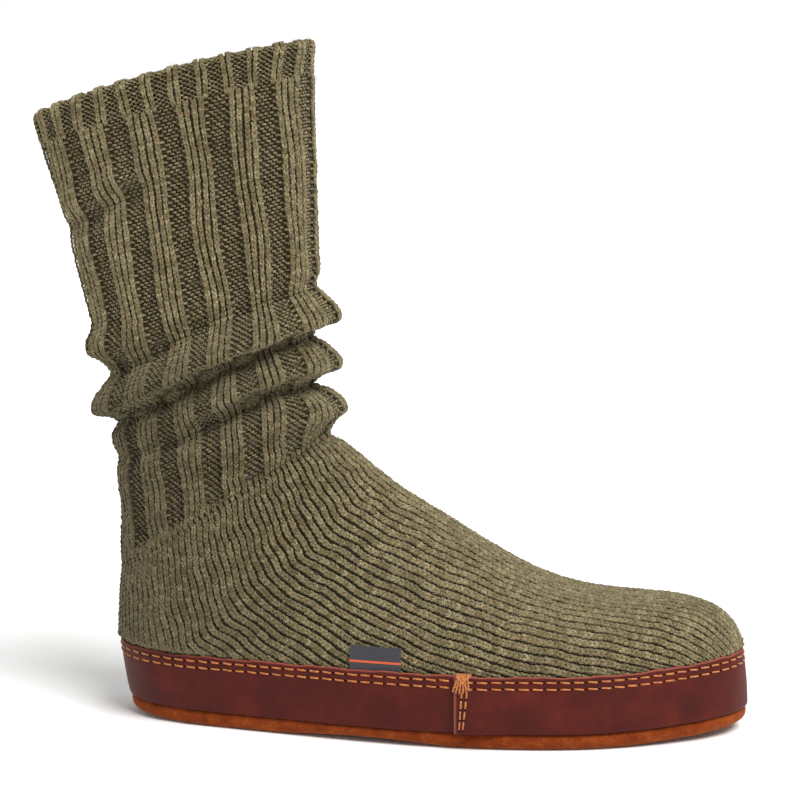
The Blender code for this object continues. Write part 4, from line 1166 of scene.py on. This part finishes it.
TACK_RADIUS = 0.00044
TACK_TURNS = [
    # where each turn of the bar tack starts and ends past the seam, how far down it starts
    (-0.0005, 0.0018, 0.0066), (0.0009, 0.0026, 0.0072), (0.0024, 0.0034, 0.0074),
    (0.0040, 0.0042, 0.0072), (0.0054, 0.0050, 0.0068), (0.0066, 0.0060, 0.0060),
    (-0.0002, 0.0068, 0.0050), (0.0064, 0.0012, 0.0052)]
for side, seam, way in (("outer", outer_seam, 1.0), ("inner", inner_seam, -1.0)):
    verts, faces = [], []
    for k, (foot_at, top_at, low) in enumerate(TACK_TURNS):
        pts = []
        for t in (0.0, 0.12, 0.35, 0.62, 0.86):
            at = seam + way * (foot_at + (top_at - foot_at) * t)
            level = 1.0 - low * (1.0 - t) / BAND_HEIGHT
            out = float(toe_lift(np.array([at]))[0]) + (-0.0004 if t == 0.0 else 0.0004
                                                       + 0.00016 * (k % 3))
            pts.append(on_band(np.array([at]), np.array([level]), np.array([-out]))[0])
        # Then over the top edge and down behind the leather.
        at = seam + way * top_at
        lift = float(toe_lift(np.array([at]))[0])
        for level, inset in ((1.012, 0.0002 - lift), (1.026, 0.0010 - lift),
                             (1.012, 0.0022), (0.97, 0.0030)):
            pts.append(on_band(np.array([at]), np.array([level]), np.array([inset]))[0])
        v, f = strand(pts, TACK_RADIUS)
        faces += [tuple(i + len(verts) for i in face) for face in f]
        verts += v
    tack = mesh_piece(f"bar_tack_{side}", verts, faces, thread)
    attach(tack, "root")

# Side tag. A short folded length of slate woven tape, caught behind the top edge of the
# band on the outer side. Plain, with one thin orange stripe woven in.
TAG_LENGTH = 0.0235
TAG_HEIGHT = 0.0098
TAG_THICKNESS = 0.0009
TAG_AT = 0.434 * SOLE_LENGTH
TAG_TUCK = 0.0022        # the tag runs down this far behind the band
STRIPE_LOW = 0.0030      # the stripe's lower edge, above the band
STRIPE_WIDTH = 0.0010
side_pts = cloth[(CLOTH_ROWS > 15) & (CLOTH_ROWS < 27)][:, 4:190].reshape(-1, 3)
columns = np.linspace(TAG_AT - TAG_LENGTH / 2, TAG_AT + TAG_LENGTH / 2, 25)
rise = np.linspace(-TAG_TUCK, TAG_HEIGHT, 15)
TAG_ROUND = ((-0.47, 0.6), (-0.30, 0.9), (0.0, 1.0), (0.30, 0.9), (0.47, 0.6))
verts = []
for x in columns:
    base = BAND_LOW + BAND_HEIGHT + CLEARANCE
    near = [side_pts[np.argsort((side_pts[:, 0] - x) ** 2
                                + (side_pts[:, 2] - base - z) ** 2)[:6], 1].min()
            for z in rise]
    line = np.polyval(np.polyfit(rise, near, 2), rise) - 0.0006
    bend = 0.0004 * math.sin((x - TAG_AT) / TAG_LENGTH * 5.0 + 0.6)
    line = line - 0.0007 * np.clip(rise / TAG_HEIGHT, 0, 1) ** 2 - bend * rise / TAG_HEIGHT
    front = [(x, y - TAG_THICKNESS, base + z) for y, z in zip(line, rise)]
    back = [(x, y, base + z) for y, z in zip(line, rise)][::-1]
    top = [(x, line[-1] - TAG_THICKNESS * (0.5 - a), base + rise[-1] + 0.0003 * b)
           for a, b in TAG_ROUND]
    verts += front + top + back
per = len(verts) // len(columns)
faces = [(k * per + i, (k + 1) * per + i, (k + 1) * per + (i + 1) % per,
          k * per + (i + 1) % per) for k in range(len(columns) - 1) for i in range(per)]
faces += [tuple(range(per)), tuple((len(columns) - 1) * per + i for i in reversed(range(per)))]

# Woven polyester tape: fine warp and weft, matt, the stripe a band of orange warp.
tape, tree, surface = new_finish("slate woven tape", 0.8, sheen=0.2)
up = add(tree, "ShaderNodeSeparateXYZ", links={"Vector": on_piece(tree)}).outputs["Z"]
yarns = [add(tree, "ShaderNodeTexWave", {"Scale": 330.0, "Distortion": 0.6},
             {"Vector": on_piece(tree)}, bands_direction=way).outputs["Fac"] for way in "XZ"]
weave = maths(tree, "MULTIPLY", *yarns)
slate = coloured(tree, weave, [(0.0, "#26252b"), (0.7, "#3f3e46")])
low = BAND_LOW + BAND_HEIGHT + STRIPE_LOW
stripe = maths(tree, "MULTIPLY", maths(tree, "GREATER_THAN", up, low),
               maths(tree, "LESS_THAN", up, low + STRIPE_WIDTH))
dress(tree, surface, mixed(tree, stripe, slate, "#c4522a"), weave, 0.5, 0.0002)
tag = mesh_piece("woven_side_tag", verts, faces, tape)
tag.data.set_sharp_from_angle(angle=math.radians(50.0))
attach(tag, "root")
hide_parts("side_tag")

# The forms were only patterns for the stitches.
for form in (stitch, loop_back, hair, thread_form, hole_shade_form):
    bpy.data.objects.remove(form, do_unlink=True)

# Studio. A pale floor and a white surround, with a soft key light from the front right and
# above, a faint light on the heel and a little from overhead. The camera stands as the
# photo's did.
FLOOR_REACH = 60.0
floor_mesh = bpy.data.meshes.new("pale_floor")
floor_mesh.from_pydata([(x * FLOOR_REACH, y * FLOOR_REACH, 0.0)
                        for x, y in ((-1, -1), (1, -1), (1, 1), (-1, 1))], [], [(0, 1, 2, 3)])
paper, tree, surface = new_finish("white paper sweep", 0.9, gloss=0.1)
surface.inputs["Base Color"].default_value = linear("#fcfcfb")
floor_mesh.materials.append(paper)
floor = bpy.data.objects.new("pale_floor", floor_mesh)
bpy.context.scene.collection.objects.link(floor)
floor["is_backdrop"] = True

# The surround is bright near the horizon, where it shows behind the shoe, and dimmer above,
# so that the light from overhead stays weak and the ribs and folds keep their shadows.
world = bpy.data.worlds.new("white surround")
world.use_nodes = True
tree = world.node_tree
sky = add(tree, "ShaderNodeTexCoord")
height = add(tree, "ShaderNodeSeparateXYZ", links={"Vector": sky.outputs["Generated"]})
backing = tree.nodes["Background"]
backing.inputs["Color"].default_value = linear("#ffffff")
tree.links.new(ranged(tree, height.outputs["Z"], 0.22, 0.45, 1.0, 0.30),
               backing.inputs["Strength"])
bpy.context.scene.world = world
LIGHTS = [
    # name, direction the light comes from, angle of its disc in degrees, strength
    ("key light", (0.72, -0.66, 1.30), 34.0, 3.3),
    ("heel light", (-1.00, -0.22, 0.70), 50.0, 0.16),
    ("top light", (0.10, 0.30, 1.00), 50.0, 0.7)]
for name, source, angle, strength in LIGHTS:
    data = bpy.data.lights.new(name, "SUN")
    data.angle = math.radians(angle)
    data.energy = strength
    lamp = bpy.data.objects.new(name, data)
    lamp.rotation_euler = Vector(source).to_track_quat("Z", "Y").to_euler()
    bpy.context.scene.collection.objects.link(lamp)

CAMERA_AT = (0.2276, -1.0893, 0.292)
CAMERA_AIM = (0.0745, 0.0, 0.1475)
camera_data = bpy.data.cameras.new("camera")
camera_data.sensor_width = 36.0
camera_data.lens = 109.6
camera_data.clip_start = 0.05
camera = bpy.data.objects.new("camera", camera_data)
camera.location = CAMERA_AT
aim = Vector(CAMERA_AIM) - Vector(CAMERA_AT)
camera.rotation_euler = aim.to_track_quat("-Z", "Y").to_euler()
bpy.context.scene.collection.objects.link(camera)
bpy.context.scene.camera = camera
bpy.context.scene.view_settings.view_transform = "Standard"

low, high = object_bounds()
